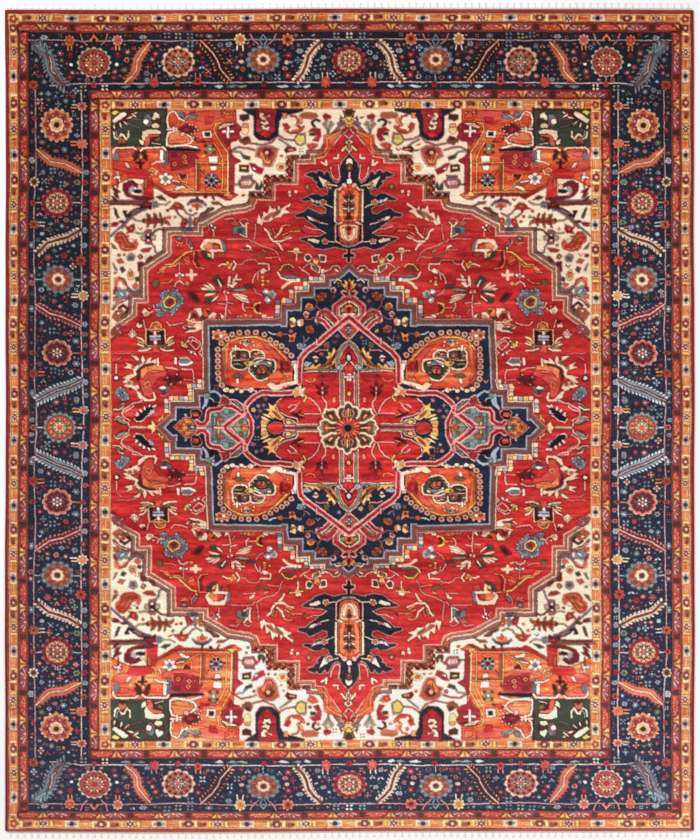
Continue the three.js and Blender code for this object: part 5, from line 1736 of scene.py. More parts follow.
MEDAL = '''
p R 303,372.8 349.4,372.8 349.4,427.8 297,427.8 297,397 302,391
# palmette under the top point
p G 349.4,278 347,281.6 344,279.6 345,284.6 341.6,283.6 344,288 349.4,290
p O 349.4,284 347,285 345.6,288.4 347,291 349.4,292
l k 1.0 349,282 349,288
l p 2.2 347.6,292 344,290.6 341.6,292.6 344,296 341,298.6
l P 1.3 346,291.6 343,290.4 341,292.6
# hexagon
c p 6.4 349,297.6 344,299.6 335,306.6 335,316 340,320.6 349,318
c c 3.0 349,297.6 344,299.6 335,306.6 335,316 340,320.6 349,318
l p 1.6 349,290.6 347.8,298
p e 349.4,301 345,303 339,308 339,314.6 344,317 349.4,314.6
c i 1.2 349.6,301 345,303 339,308 339,315 344.6,317.6
p i 342,314 346,313 349.4,312.6 349.4,316 345,317
p T 341,309 345,306 346,312 341,312
p O 349.4,304 345,305.6 344,309 346,312.6 349.4,312.6
p o 349.4,304.6 345.6,306 346,307.6 349.4,306.6
p m 349.4,307.6 347.4,308.6 347.6,311.6 349.4,312
# ribbon leaf
l P 6.0 318,320 320,313.4 325,311.4 330,314 336,321
l c 3.4 318,320 320,313.4 325,311.4 330,314 336,321
l P 5.4 318,319 324,321.6 331,329.6
l c 2.8 318,319 324,321.6 331,329.6
p T 323,315 328,316 334,322 336,325 332,324 327,320
l i 1.1 324,316 330,320 335,326
l x 1.0 324,314.6 330,318 335,323
# diamond under the hexagon
p Q 349.4,320.6 340,329.4 349.4,340
c P 1.3 349.4,320.6 339,330 349.4,341
p P 349.4,324.6 344,330 349.4,336
p b 349.4,325.6 345.6,330 349.4,334.6
s l 1.6 347,330 349,327.6 349,332.4
# ogee with its fleur
l T 3.6 349,342 343,347 339,355 337.4,363 338.4,370
l P 1.2 349,340 341.4,345.6 336.6,354 335.4,363.4 336.6,370.6
l P 1.2 349,344.6 344.6,349 341,356 339.4,363
p R 349.4,346 345,351 341,359 340,364.6 344,365 347,361.6 349.4,361.6
e c 344.6,361.6,2.4,1.8
l i 1.4 339.4,365.6 344,365.4 347,362 349.4,361.4
c K 1.3 349.4,354 347,355 346.6,359 349.4,361
e l 349,357.6,1.9,3.0
p R 349.4,363 346,365.6 343,369.6 345,372 344.6,404 349.4,404
p c 339.6,368.6 343,367.6 345,371 342,373.6
e L 338.6,368,2.2,2.2
l L 1.6 340.4,370 343,366.6
# stem of the ogee
l P 1.5 343.8,372.4 343.8,404
l T 1.7 341.6,373 341.6,405
l P 1.5 339.6,372 339.6,406.6
s w 2.4 348,374.6 348,377.4 345.6,377 350.4,377 348,379.4
p o 346.6,393 349.4,391 349.4,394 347.6,395.6
l x 1.5 349,394 349,402
e y 349,393.6,1.7,2.2
# gold flames above the red quarter
l k 3.0 302,371 310,369 322,368 334,368
p G 303,369 307,365.4 309,367.6 313,363.6 315,367 320,363 321,366.4 328,361 326,357 329,355.6 328,351.6 332,353 333.6,346.6 335.6,350 338,352 334,356 336,359.6 333,365 326,368.4 316,369.6 306,370.6
p X 318,367 324,364 331,361.6 332,364 325,367
t g 2.2 331,358 335.6,348
t x 2.2 324,366 330,359
t k 2.2 330,363 337,352
l T 1.6 306,371 322,369.6 336,369.6
l i 1.2 304,372.4 312,371 337,371.6
l p 1.5 316,351.6 320,350 328,350.4 328,346.6
s b 2.4 331,368 320,369.4
# navy field fillers
p L 303,363 306,360.6 309,362 312,361.6 311,364.6 307,366.6 304,366
s l 1.8 305,363.4
p b 296,345 299,342.4 303,343 306,346 305,350.4 301,349.6 298,349
s L 2.2 298,345 303,349 305,345
l M 1.4 304,343 304.6,339 303.6,336
p i 312,357.4 316,355 319,358 316,359.4
p M 313,359 316,358 319.6,359.6 316,362.4
e P 316,360.6,1.6,1.4
p x 306,326.6 311,325 315,328.6 314,333 308,333 306,330
s X 1.9 308.6,329 312,331
p g 290,318.6 293,316.4 296,319 296,325 292,327.4 289.6,322.4
p i 297,320.6 301,318.6 303.6,321 302,326 298,325.4
p o 301,317 304,320 303.6,325 302,325.6
e X 291,322,1.4,1.6
p G 305,306 308,302.6 312,304 313.6,308 309,310 306,308.6
e x 309.4,306.6,1.6,1.4
p P 303,313.6 306,310.6 309,313 308,317.6 304.6,317
e X 306,314.6,1.3,1.2
p x 316,295.6 321,292 327,292.6 326,297 323,301 318,300.6
l X 1.3 318,300 322,296 326,293
s k 1.3 320,294.4 323.6,298
e P 333,290,3.2,3.0
e K 332.6,290.6,1.4,1.3
p o 288,332.6 292,335 297,331.6 296,336 294.6,341 289,341 290,337
e k 292.4,338.4,1.6,1.4
p x 276,333.6 281,331 284,333.6 282,337 278,336
l l 1.4 269,331.6 273,333.6 276,334
l M 1.2 283,334 288,333.6
l M 1.4 305,318.6 310,319.6 315,316.6 318,317
l M 1.4 305,308.6 311,310.6 316,306.6 317,301.6 314,297.6
l M 1.4 317,305.6 320,309.6 324,311
l M 1.3 326,307.6 331,311
l M 1.3 320,319.6 317,324
l M 1.3 297,323.6 290,323.6
l i 1.4 334,282.6 337,279 341,281
l b 1.3 306,341 309.6,337.6
s T 2.2 326,344.6 329,346 328,343 325.6,347
p e 323,345 326.6,342 329.6,345.4 327,348
# lattice band
l P 6.4 349,316.6 337,327 317,344 306,352 300.6,358.6 299.6,366 299.6,382
l c 3.2 349,316.6 337,327 317,344 306,352 300.6,358.6 299.6,366 299.6,382
l P 1.5 317,344 317,338.6
# red quarter between the stems
p R 303,373 312,372.4 338.4,372.8 338.4,405 330,409 322,412 309,398 302,390
p c 320,375 336,374.4 334,380 322,381
p R 276,401 280,398.4 298,396 310,399.6 318,408 320,414 316,424 298,424 296,418 286,414.6 278,409
l P 1.3 281,398.4 276.6,401.6 275.4,406.4 278.6,411.6 286,415.6 296,418 298,423.6
l P 1.4 308,397.6 313,400.6 318,406.6 320,412.4 322.6,414.6 324,410
l o 1.2 305,379.6 309,382 314,381 315,378
e c 321,377.6,2.6,1.8
# little trees and birds
l P 1.5 322,386 322.4,398
t k 2.4 321.6,391 315.6,385
t k 2.4 322.6,391 328.6,386
t K 2.4 321.6,395 317,391
t K 2.4 322.8,395 327.6,391.6
e k 322,384.6,1.6,2.0
l P 1.3 322.4,398 325.6,402 326,406.6 323,412.6
p o 332,398 335,397 335.4,402 333,403
t x 2.0 303,402 301,394
l y 1.6 303.6,401 306,397 303.6,393.6
p K 290,412 298,414 304,418 299,417.6 293,414.6
l P 1.5 288,407 292,404 297,405 294,408.6 290,411
l o 1.3 297,413.6 303,415.4
t k 2.0 296,414 301,409.6
l o 1.2 293,404.6 299,403
l P 1.2 304,413.6 320,413.6
# flower where the bands meet
p i 289,391 295,388 301,384.6 301,388.6 306,386.6 303,391 304,396.6 299,395 294,397 294,393
p g 292,390.6 299,388 302,392 297,395 293,393.6
p o 294,391 298,390 298,393 295,393.4
# lower band to the left
l P 6.0 291,392 280,393 268,392.6 262,392.6 254,396.6 247,403 243.6,408.6 247,414.6 250.6,421.6 250.6,427.5
l c 3.2 291,392 280,393 268,392.6 262,392.6 254,396.6 247,403 243.6,408.6 247,414.6 250.6,421.6 250.6,427.5
l P 6.0 244.6,408 236,414.6 228,420.6 223.6,427.5
l c 3.0 244.6,408 236,414.6 228,420.6 223.6,427.5
# navy lobe and its gold flames
p G 268,402 272,405.6 276,403 274,408 279,413 285,418 280,420 274,417 272,419 270,415 266,415.6 269,411 263,409.6 269,408
p G 261,427.5 260,421 264,416.6 268,420 266,427.5
t g 2.2 272,418 262,413.6
t g 2.2 270,421 260,416.6
t X 2.2 280,418 272,410.6
t y 2.0 266,424 260.6,420.6
e P 275.5,427.5,9.0,6.6
e K 275.5,427.5,8.0,5.8
e P 275.5,427.5,8.2,5.8
e R 275.5,427.5,6.9,4.7
# eyes, stem band
c P 1.4 283,420.6 287,418.6 293,420.6 297,424 290,424.6 284,423.6
p T 284,421 287,419.8 292,421.6 295,423.6 288,423.6
e y 288,422,2.6,1.8
p P 284,424.8 318,424.8 318,427.6 284,427.6
p i 296,423.6 318,423.6 318,424.9 296,424.9
p c 283,426.6 318,426.4 318,427.6 283,427.6
l T 1.0 296,425.6 318,425.6
# slate shield inside its ribbon
p b 203,427.6 209,423.6 210,420.5 210.4,412.6 213,411.6 219.4,411.2 222,408.2 231,407.2 238,412 246,417 246,427.6
l l 1.0 214,414 214,427
l t 1.4 212.4,416 212.4,426
l T 1.0 216,412.6 216,427
l s 0.9 219,412 219,417
e z 226,411.4,3.6,2.6
e t 231,411,2.4,1.8
e z 214.6,414.6,2.4,1.6
l T 1.2 227,415.4 232,414.6 236,412.6
e p 219.8,419.6,4.2,2.6,-14
e x 219.8,419.6,3.2,1.8,-14
l y 1.5 217.6,422 218.2,427
p T 232,427.6 236,422.6 241,418.4 246,421 248,427.6
l P 1.5 229.6,427.6 234,423 241,417.6 244.4,415.6
e e 240.4,421.6,1.8,2.0
p o 240,427.6 242,424.6 247,425 247,427.6
e O 243.4,427.2,1.8,1.4
l P 5.8 222.6,427.4 229,422 234,418.6 240,414 244.4,410.6
l c 3.2 223.6,427.4 229,422.4 234,418.8 240,414.2 245,410.4
l P 2.0 214,427.5 223,427.3
l P 5.9 196.4,422.2 199,425 204,424.4 206.8,421 207.2,413 209.6,410.2 219,408.8 222.6,405.2 232,406 241.6,412.4
p P 195,427.6 196,425.6 205,426 206.4,427.6
l c 3.1 196.4,422.2 199,424.6 204,424.0 206.8,420.6 207.2,413 209.6,410.2 219,408.8 222.6,405.2 232,406 241.6,412.4
l r 0.9 207,420 207.2,413 209.6,410.2 218,409
c P 1.5 214.4,405.6 215,402 219.8,402.8 221,398.4 223.4,395.2 229,399.2 229.4,404
p c 219.8,404.4 220.8,402.4 221.8,398.6 223.6,396.6 228,399.8 228.4,404.2
p r 215.6,405 216,403.4 219,404
l M 1.0 225,398.6 225.6,404
p s 231,400.4 236,400.6 241,404.8 242,409 236,405.6
p b 233,401.4 236,401.8 240,405.6 237,404.6
l P 1.4 229,399.4 236,400 242.6,405 243.6,410
l P 1.2 230,401.6 236,406.4 241,410.4
# lozenge, boxes, light bars
p L 184.4,417.4 183.4,413.8 185.8,414.6 187.4,418.4
c p 1.5 173,427.6 178,423.6 183,418.8 186,417.6 190,418.2 193,421.4 194,427.6
p o 174.6,427.6 178.6,424.2 183,420 187,418.8 191,420.2 192.6,423 193.6,427.6
p G 180,427.6 182,424 186,421 190,421.8 190,427.6
s O 1.5 178.6,426.6 182,421.8 185.4,425.4 188.4,420.4 181.4,426
s x 1.2 184,422.6 187.4,424 190.6,420.4
p T 187.6,427.6 189,424 193,424 195,427.6
e e 189.4,427,1.8,1.6
e l 191.8,427.6,1.5,1.3
l p 1.3 190.6,417.2 190.2,412 192,409.8 198,409.6 201,412 200.8,416 198.6,418
p k 190.8,412.6 198.6,412 198.8,417 192.6,417.4
p Q 191.4,413.6 198,412.6 198,416.4 193,417
p x 191.6,413 197.6,412.4 197,413.4 192,414
p n 192,410.4 197.8,410.2 197.8,411.8 192,412
p n 198.8,412.6 200.2,412.8 200.2,416 198.8,416
l k 1.0 201.6,417 203.4,413 204,409
p L 204,393.8 207.8,393.8 207.8,401 206,405.6 202,410 200.8,408.6 203.8,403.6
p z 205.4,394.6 208.4,393 208.8,397 205.6,398
l L 2.4 210.4,392.4 214,391.2 217.6,393.2 220.6,396
l L 1.5 207.8,398 211,398.6 212.8,400.2 213,402.6
p n 209,400 212,401 213,404.6 210,406.6 208.4,404
# side of the lobe: small figures
p n 212,403 218,401 216,406 211,407
'''

CARTOUCHE = '''
p O 228,340 236,335.6 256,334.6 268,339 279,347 290,360 292.6,364 292.6,382 283,386 270,388 236,388 222,382 220.6,376 220.6,350
p o 222.4,352 226,346 230,342 228,352 226,372 228,380 223.6,376
p Q 262,344 272,347.6 282,358 287,366 287,372 279,362 270,352
l y 1.3 222.6,350 230,341.6 240,337.6 256,336.8 266,340.6 276,347.6 287,360
l x 0.9 221.4,352 221.4,378 226,386
l x 0.9 224.4,352 224.4,376 230,386
# star near the top
p g 240,341 246,338.6 251,340 255,342 250,344 246,346.6 243,344
e l 247.6,341.6,2.6,2.6
e E 247.6,341.6,1.2,1.2
s i 1.8 240.6,343 254,345.6
s k 1.4 243,341.6 251,341.8
# cloud motif
p E 231,353 233,350.4 236,350 240,349.6 244,349.4 248,350.4 250,352 250,357 252,362 248,367 245,369 240,370 235,369 231.4,366 231,362 231.6,357
p E 264.6,358.6 270,359 274,359.6 275.6,363 275.4,369 273.6,371.6 273.4,375 270,376.6 266,379 262,380.4 258,380.4 254.6,378 252,374.6 249,371.4 248.6,366 250,361 254,358
p e 250,352 253,350 258,349.8 262,351 264.4,354 264.6,358 260,358 256,358.4 252.6,361 250,358
p k 237.6,351 239.4,351 239.8,360 237.8,360
p e 232.4,352.6 236.6,351.4 237,355 233,355.4
p X 232.4,356.6 236.8,356 237,359 233,359.4
l i 1.1 231.6,356 235,355.6
l i 1.2 231.6,360.4 240,360.2 244,361
l k 1.2 233,362.2 243,362
l T 1.5 233,364.4 238,364 243,366
l k 1.1 234.6,366.6 240,366.4 245,366
e M 243.8,355.4,3.9,3.7
e p 243.8,355.4,2.9,2.7
e e 243.6,355.2,1.9,1.7
e P 244.4,355.8,1.0,1.0
l p 1.2 240.4,358.6 245,359.8 249,359
e k 257.4,354.2,4.6,2.6
e M 256,354.6,3.6,2.2
e p 256.4,354,2.4,1.2
l p 1.2 253,356.6 258,356.8 262.6,355.4
l g 1.0 258,352.2 262.4,353.6
p l 254,366.4 257,362.6 262,361 270,361.6 271.6,364.6 269,366.6 266,364.6 259,364.6
l s 1.2 259,362.6 266,362.6 269,364.6
e w 255,365.8,1.2,1.2
p g 267,361.4 271,361.6 271,364 268,363.6
e k 261.6,369.6,5.8,4.8
e x 261.6,369.6,4.9,4.0
e M 259,371,2.6,3.0
e Q 259,371.2,1.6,2.2
l x 1.0 260,367 264,366.4 266.4,369 266,372
l o 1.1 262.4,369 264.4,370.4 263.6,372.6
e e 268.6,372.6,2.0,1.6
s i 1.7 250.6,369.6 252.6,372.8 255.4,376.4
s e 1.6 258,377 263,377.6 268,375.6
c i 1.7 264.6,358.6 270,359 274,359.6 275.6,363 275.4,369 273.6,371.6 273.4,375 270,376.6 266,379 262,380.4 258,380.4 254.6,378 252,374.6 249,371.4 248.6,366
l i 1.7 252.6,361 256,358.6 260,358 264.8,358 264.4,354 262,351 258,349.8 253,350 250,352
l i 1.7 247,367 245,369 240,370 235,369 231.4,366 231,362 231.6,357 231,353 233,350.4 236,350 240,349.6 244,349.4 248,350.4 250,352 250,357
p y 243.6,362.6 247,360.6 253.6,361.2 252,365.4 247,366
e e 247.4,363,1.1,1.0
l w 1.7 232.8,348.6 239.4,348.6
l w 1.9 235.8,345.8 235.8,350
# arrow, crimson box
p t 232,376.4 236,374 242,374.6 242.6,377.6 236,378
e e 237,375.4,3.0,1.8
e w 237.4,381,1.5,2.7
p x 242,374 245,373.6 244,377
p c 281,362.6 288,361.6 290.6,365 290,371 283,371.6 280.6,367
l k 1.1 281.4,360.6 280.8,372
e R 285.6,366.6,2.6,2.4
s P 1.6 287.6,376 283,374.6 288,379
p O 270,374 279,370 284,376 278,383 268,384
# peach cluster, white column
p o 212,333 217,330.4 224,331.6 229,334 226,339.6 220,341.6 215,339
s P 2.6 214,332 219,330.4 225,331.4 214,337.6 220,341
e X 217.6,336,1.5,1.4
e w 221.6,336,1.8,1.6
p w 291.4,361 295,360 298,368 298.4,382 293.6,382.6 294.6,372
s P 2.0 292,357.6 295.6,361.6 292,364
# leafy lower edge
l i 1.6 222,388 230,389.6 238,389.4 247,389.2 256,391.2
e i 226,389.4,3.2,2.5
e i 231.4,391,2.6,1.9
e i 241,391.2,2.4,1.8
e i 250.4,389.8,3.2,2.5
t i 2.4 238.6,390.6 236.4,386.6
p i 266,384 272,382 276,385 283,382.6 292,381 297,379.6 297,383 288,386 281,389 274,390.6 270,388
s x 1.8 284,387.6 288,386
s i 2.2 227,388.6 236,389.4 248,389.6
'''

BEADS = '240,332.6 248,332.4 256.4,332.4 265,334.6 270.4,339.4 276.4,343 282,346 286.8,350.2 291.4,355 232.6,334.4 227.4,338.8 221.6,343.2 218,349.4 218,355.4 217.8,361 217.8,367 218,373 218.6,379 221.6,385'


def weave_field(m, W):
    def P(s):
        return [tuple(map(float, t.split(','))) for t in s.split()]
    every = (0, 1, 2, 3)
    # ---- grounds
    m.halo = 0.0
    m.poly([(LEFT_LINES[6], HEAD_LINES[6]), (RIGHT_LINES[6], HEAD_LINES[6]), (RIGHT_LINES[6], FOOT_LINES[6]), (LEFT_LINES[6], FOOT_LINES[6])], 'R')
    sp = P(SPANDREL_LINE)
    for q in every:
        ring = [quarter(x, y, q) for x, y in sp + [(110.6, 338), (110.6, 109.6), (349.2, 109.6), (349.2, 127)]]
        keep = m.img.copy()
        m.poly(ring, 'I')
        m.rings(ring, [(1.2, 'P'), (2.1, 'X'), (3.2, 'x'), (4.0, 'k'), (5.1, 'i'), (5.9, 'X'), (8.3, 'W'), (9.2, 'k')])
        # the outline follows only the side that faces the red field
        for box in ([(110.6, 109.6), (341, 109.6), (347, 119.5), (110.6, 119.5)], [(110.6, 109.6), (120, 109.6), (120, 318), (112, 329), (110.6, 329)]):
            m.poly([quarter(x, y, q) for x, y in box], 'I')
        cn = [quarter(x, y, q) for x, y in P(CORNER_LINE) + [(110.6, 187), (110.6, 109.6), (236, 109.6)]]
        m.poly(cn, 'O')
        edge = [quarter(x, y, q) for x, y in P(CORNER_LINE)]
        m.line(edge, 1.3, 'x')
    m.halo = 0.45
    m.run(BAND)
    m.run(SPANDREL)
    m.run(IVORY_LEFT)
    m.run(CORNER)
    # ---- red field
    m.run(REDFIELD)
    # ---- medallion
    md = P(MEDALLION_LINE)
    for half in (0,):
        a = [quarter(x, y, 0) for x, y in md]
        b = [quarter(x, y, 2) for x, y in md][::-1]
        c = [quarter(x, y, 3) for x, y in md]
        d = [quarter(x, y, 1) for x, y in md][::-1]
        ring = a + b[1:] + c[1:] + d[1:]
        out = []
        for p in ring:
            if not out or abs(p[0] - out[-1][0]) + abs(p[1] - out[-1][1]) > 0.6:
                out.append(p)
        m.halo = 0.0
        m.poly(out, 'U')
        m.rings(out, MED_BAND)
        m.halo = 0.45
    m.run(STEPS)
    m.run(PENDANT)
    m.run(CARTOUCHE)
    m.run(MEDAL)
    for s in P(BEADS):
        for q in every:
            for r, dye in ((3.2, 'P'), (2.6, 'i'), (1.15, 'X')):
                m.poly([quarter(x, y, q) for x, y in ellipse(s[0], s[1], r, r, 0, 10)], dye)
    # ---- centre rosette: eight lobed petals round a ring of rays
    cx, cy = 347.5, 428.0
    S = lambda pts, dye, w=None, closed=False: m.poly(pts, dye) if w is None else m.line(pts, w, dye, closed)
    tall = [(-8.6, -9.4), (-11, -13), (-10.6, -18.4), (-8.4, -21), (-4.4, -21.2), (-3, -24.6), (0, -26), (3, -24.6), (4.4, -21.2), (8.4, -21), (10.6, -18.4), (11, -13), (8.6, -9.4)]
    slant = [(-11.2, -13.6), (-12.6, -18.2), (-15.4, -19.4), (-19.4, -18), (-22.8, -19), (-23.2, -15.6), (-26.2, -12.4), (-24, -9.4), (-20.4, -7.8), (-16.6, -5.2), (-11, -5.2)]
    broad = [(-11, -5.2), (-16.6, -5.2), (-20.4, -7.8), (-24.4, -8.2), (-27.2, -6.4), (-27.6, -3.2), (-30.2, 0), (-27.6, 3.2), (-27.2, 7), (-24.4, 8.6), (-20.4, 7.2), (-17, 5.2), (-11, 5)]
    S(ellipse(cx, cy, 22, 18, 0, 20), 'r')
    for sx in (1, -1):
        T = lambda pts, sy=1: [(cx + sx * x, cy + sy * y) for x, y in pts]
        for sy in (1, -1):
            S(T(slant, sy), 'e'); S(T([(-15, -16), (-19, -15), (-22, -14.4), (-19, -11.6), (-15, -12.6)], sy), 'k')
            S(T([(-20, -12.4), (-17.4, -14.6), (-13.8, -9.2), (-16.4, -8.6)], sy), 'o')
            S(T([(-18.4, -12.4), (-15.4, -9.8)], sy), 'g', 1.2)
            S(T([(-12.4, -12), (-13.6, -8.2)], sy), 'X', 1.4)
        S(T(broad), 'e')
        S(T([(-24.6, -6), (-27, -3), (-28.6, 0), (-27, 3), (-24.6, 6.4), (-23, 0)]), 'T')
        S(T([(-17.4, -3.4), (-21, -4.6), (-24.4, -2.6), (-24.8, 0), (-24.4, 2.6), (-21, 4.6), (-17.4, 3.4)]), 'x')
        S(T([(-20, -3), (-23.4, -1.4), (-23.4, 1.4), (-20, 3)]), 'o')
        S(T([(-12, 0), (-22, 0)]), 'g', 1.1)
        S(T([(-12, -2.6), (-18, -3)]), 'k', 1.0); S(T([(-12, 2.6), (-18, 3)]), 'k', 1.0)
    for sy in (1, -1):
        T = lambda pts: [(cx + x, cy + sy * y) for x, y in pts]
        S(T(tall), 'e')
        S(T([(-8.4, -12), (-8.6, -17), (-6, -19), (-4.6, -15), (-5.6, -11)]), 'E'); S(T([(8.4, -12), (8.6, -17), (6, -19), (4.6, -15), (5.6, -11)]), 'E')
        S(T([(-2.6, -20.6), (0, -23.4), (2.6, -20.6), (0, -19)]), 'E')
        S(T([(-4.4, -17.4), (-6, -14), (-3.6, -10)]), 'p', 1.5); S(T([(4.4, -17.4), (6, -14), (3.6, -10)]), 'p', 1.5)
        S(T([(-2.0, -18), (-2.4, -10)]), 'o', 1.2); S(T([(2.0, -18), (2.4, -10)]), 'o', 1.2); S(T([(0, -19), (0, -10)]), 'g', 1.2)
    m.halo = 0.0
    for sx in (1, -1):
        for sy in (1, -1):
            S([(cx + sx * x, cy + sy * y) for x, y in slant], 'i', 1.7)
    for sx in (1, -1):
        S([(cx + sx * x, cy + y) for x, y in broad], 'i', 1.7)
    for sy in (1, -1):
        S([(cx + x, cy + sy * y) for x, y in tall], 'i', 1.8)
    m.halo = 0.25
    S(ellipse(cx, cy, 12.4, 10.6, 0, 20), 'r')
    for i in range(18):
        a = np.pi / 9 * i + 0.1
        S(petal((cx + 4.6 * np.cos(a), cy + 4.3 * np.sin(a)), (cx + 12.6 * np.cos(a), cy + 10.8 * np.sin(a)), 2.0), 'o' if i % 3 else 'Q')
    S(ellipse(cx, cy, 5.2, 5.0), 'p'); S(ellipse(cx, cy, 4.1, 3.9), 'M'); S(ellipse(cx, cy, 3.7, 3.5), 'n')
    m.halo = 0.0
    # ---- what fills the bare ground
    W.fill((113, 112, 589, 345), ('I',), 'XxmTsexQWp', 6.0, 2.9, 21)
    W.fill((113, 520, 589, 738), ('I',), 'XxmTsexQWp', 6.0, 2.9, 22)
    W.fill((207, 268, 494, 588), ('U',), 'MsXbxGpM', 6.2, 2.8, 23)
    W.fill((113, 112, 589, 200), ('O',), 'oQRyx', 6.0, 2.7, 24, 0.8)
    W.fill((113, 640, 589, 738), ('O',), 'oQRyx', 6.0, 2.7, 25, 0.8)


# ==================================================================== the assembly
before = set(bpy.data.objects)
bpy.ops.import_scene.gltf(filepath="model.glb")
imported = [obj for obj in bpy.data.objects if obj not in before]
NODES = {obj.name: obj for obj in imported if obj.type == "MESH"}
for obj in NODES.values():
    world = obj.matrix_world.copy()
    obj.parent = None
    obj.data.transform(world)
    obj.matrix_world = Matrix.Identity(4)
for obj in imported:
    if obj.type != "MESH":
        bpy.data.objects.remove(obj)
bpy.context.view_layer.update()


def metres(u, v):
    return (u - MID_U) * SQ, (MID_V - v) * SQ


HALF_X = 1.2290
BODY_Y0, BODY_Y1 = -1.4656, 1.4656


def drift(x, y):
    """The rug is woven by hand, so its outline wanders by a few millimetres."""
    sx = np.clip(x / 1.23, -1, 1)
    sy = np.clip(y / 1.49, -1, 1)
    left = 0.0012 * np.sin(y * 2.3 + 0.6) + 0.0010 * np.sin(y * 5.9 + 2.0) + 0.0004 * np.sin(y * 17.0)
    right = 0.0012 * np.sin(y * 2.0 + 2.4) + 0.0010 * np.sin(y * 6.7 + 0.3) + 0.0004 * np.sin(y * 15.0 + 1.0)
    head = 0.0022 * np.sin(x * 2.7 + 1.0) + 0.0010 * np.sin(x * 6.1 + 2.2)
    foot = 0.0019 * np.sin(x * 2.2 + 0.2) + 0.0010 * np.sin(x * 5.3 + 1.2)
    wx = np.where(sx < 0, left, right) * np.abs(sx) ** 2
    wy = np.where(sy < 0, foot, head) * np.abs(sy) ** 3
    return x + wx, y + wy


# -------------------------------------------------------------------- the pattern
loom = Loom()
weaver = weave_borders(loom)
weave_field(loom, weaver)
pattern = np.clip(loom.img, 0.0, 1.0)

# every dye lot differs a little from row to row, and every knot from the next
rng = np.random.default_rng(41)


def smooth_noise(h, w, cells_y, cells_x, gen):
    g = gen.standard_normal((cells_y + 2, cells_x + 2))
    yy = np.linspace(0, cells_y, h); xx = np.linspace(0, cells_x, w)
    y0 = np.floor(yy).astype(int); x0 = np.floor(xx).astype(int)
    fy = (yy - y0)[:, None]; fx = (xx - x0)[None, :]
    fy = fy * fy * (3 - 2 * fy); fx = fx * fx * (3 - 2 * fx)
    a = g[y0][:, x0]; b = g[y0][:, x0 + 1]; c = g[y0 + 1][:, x0]; d = g[y0 + 1][:, x0 + 1]
    return a * (1 - fx) * (1 - fy) + b * fx * (1 - fy) + c * (1 - fx) * fy + d * fx * fy


def to_linear(c):
    return np.where(c <= 0.04045, c / 12.92, ((c + 0.055) / 1.055) ** 2.4)


abrash = 0.055 * smooth_noise(NY, NX, 46, 5, rng) + 0.05 * smooth_noise(NY, NX, 150, 9, rng) + 0.035 * smooth_noise(NY, NX, 420, 60, rng)
cloudy = 0.03 * smooth_noise(NY, NX, 9, 8, rng)
grain = 0.075 * rng.standard_normal((NY, NX))
shade = 1.0 + np.clip(abrash + cloudy + grain, -0.3, 0.3)
tone = 0.03 * rng.standard_normal((NY, NX))
# a dye never takes quite the same twice, so it drifts along the rows
streak = 0.75 * smooth_noise(NY, NX, 300, 16, rng) + 0.5 * smooth_noise(NY, NX, 120, 30, rng) + 0.35 * smooth_noise(NY, NX, 560, 150, rng)
streak += 0.45 * smooth_noise(NY, NX, 500, 120, rng)
streak = np.clip(streak, -1.9, 1.9)
TAKE = {'R': (0.24, 0.44, 0.40), 'Q': (0.15, 0.35, 0.3), 'c': (0.2, 0.4, 0.35), 'O': (0.15, 0.56, 0.5), 'o': (0.1, 0.24, 0.28), 'I': (0.035, 0.05, 0.09),
        'N': (0.3, 0.22, 0.22), 'U': (0.2, 0.25, 0.3), 'G': (0.09, 0.2, 0.26), 'D': (0.15, 0.3, 0.3), 'H': (0.1, 0.25, 0.3), 'h': (0.1, 0.25, 0.3)}
take = np.zeros((256, 3)); take[:] = (0.1, 0.14, 0.14)
for letter, k in TAKE.items():
    take[ord(letter)] = k
linear = to_linear(pattern) * shade[..., None] * np.exp(streak[..., None] * take[loom.lot]) * 1.13
linear[..., 0] *= 1 + tone
linear[..., 2] *= 1 - tone
# painted light and sheen: the borders are painted paler and more veiled toward the foot end and the right-hand side,
# standing in for how the light and the pile's sheen fall
ku, kv = np.meshgrid(np.linspace(U0, U1, NX), np.linspace(V0, V1, NY))
# the ramp of painted light and sheen, rising toward the foot end and the right-hand side
painted_light_ramp = 0.78 * np.clip((kv - 60.0) / 740.0, 0, 1) ** 1.25 + 0.24 * np.clip((ku - 60.0) / 600.0, 0, 1) * (0.35 + 0.65 * kv / 830.0)
in_field = ((ku > LEFT_LINES[6]) & (ku < RIGHT_LINES[6]) & (kv > HEAD_LINES[6]) & (kv < FOOT_LINES[6]))
in_main = ((ku > LEFT_LINES[3]) & (ku < RIGHT_LINES[3]) & (kv > HEAD_LINES[3]) & (kv < FOOT_LINES[3])) & \
    ~((ku > LEFT_LINES[4]) & (ku < RIGHT_LINES[4]) & (kv > HEAD_LINES[4]) & (kv < FOOT_LINES[4]))
# painted light (a gain) and painted sheen (a pale veil added on top), both along the ramp, weakest in the field
painted_light_gain = np.where(in_field, 0.10, np.where(in_main, 0.55, 0.42)) * painted_light_ramp
painted_sheen_lift = np.where(in_field, 0.004, np.where(in_main, 0.024, 0.050)) * painted_light_ramp
# painted light: the field is painted brighter still toward the foot end
painted_light_gain = painted_light_gain + np.where(in_field, 0.30 * np.clip((kv - 600.0) / 90.0, 0, 1), 0.0)
# painted light: the orange and the ivory of the field corners are painted paler toward the foot end
low = np.clip((kv - 560.0) / 110.0, 0, 1)
orange = np.isin(loom.lot, [ord('O'), ord('S'), ord('Q')]) & in_field & ((ku < 238) | (ku > 462)) & (kv > 600)
linear = np.where(orange[..., None], linear * (1 + low[..., None] * np.array([0.12, 0.60, 0.50])), linear)
ivory = np.isin(loom.lot, [ord('I'), ord('i'), ord('x'), ord('D'), ord('X'), ord('W')]) & in_field
linear = np.where(ivory[..., None], linear * (1 + low[..., None] * np.array([0.10, 0.14, 0.14])), linear)
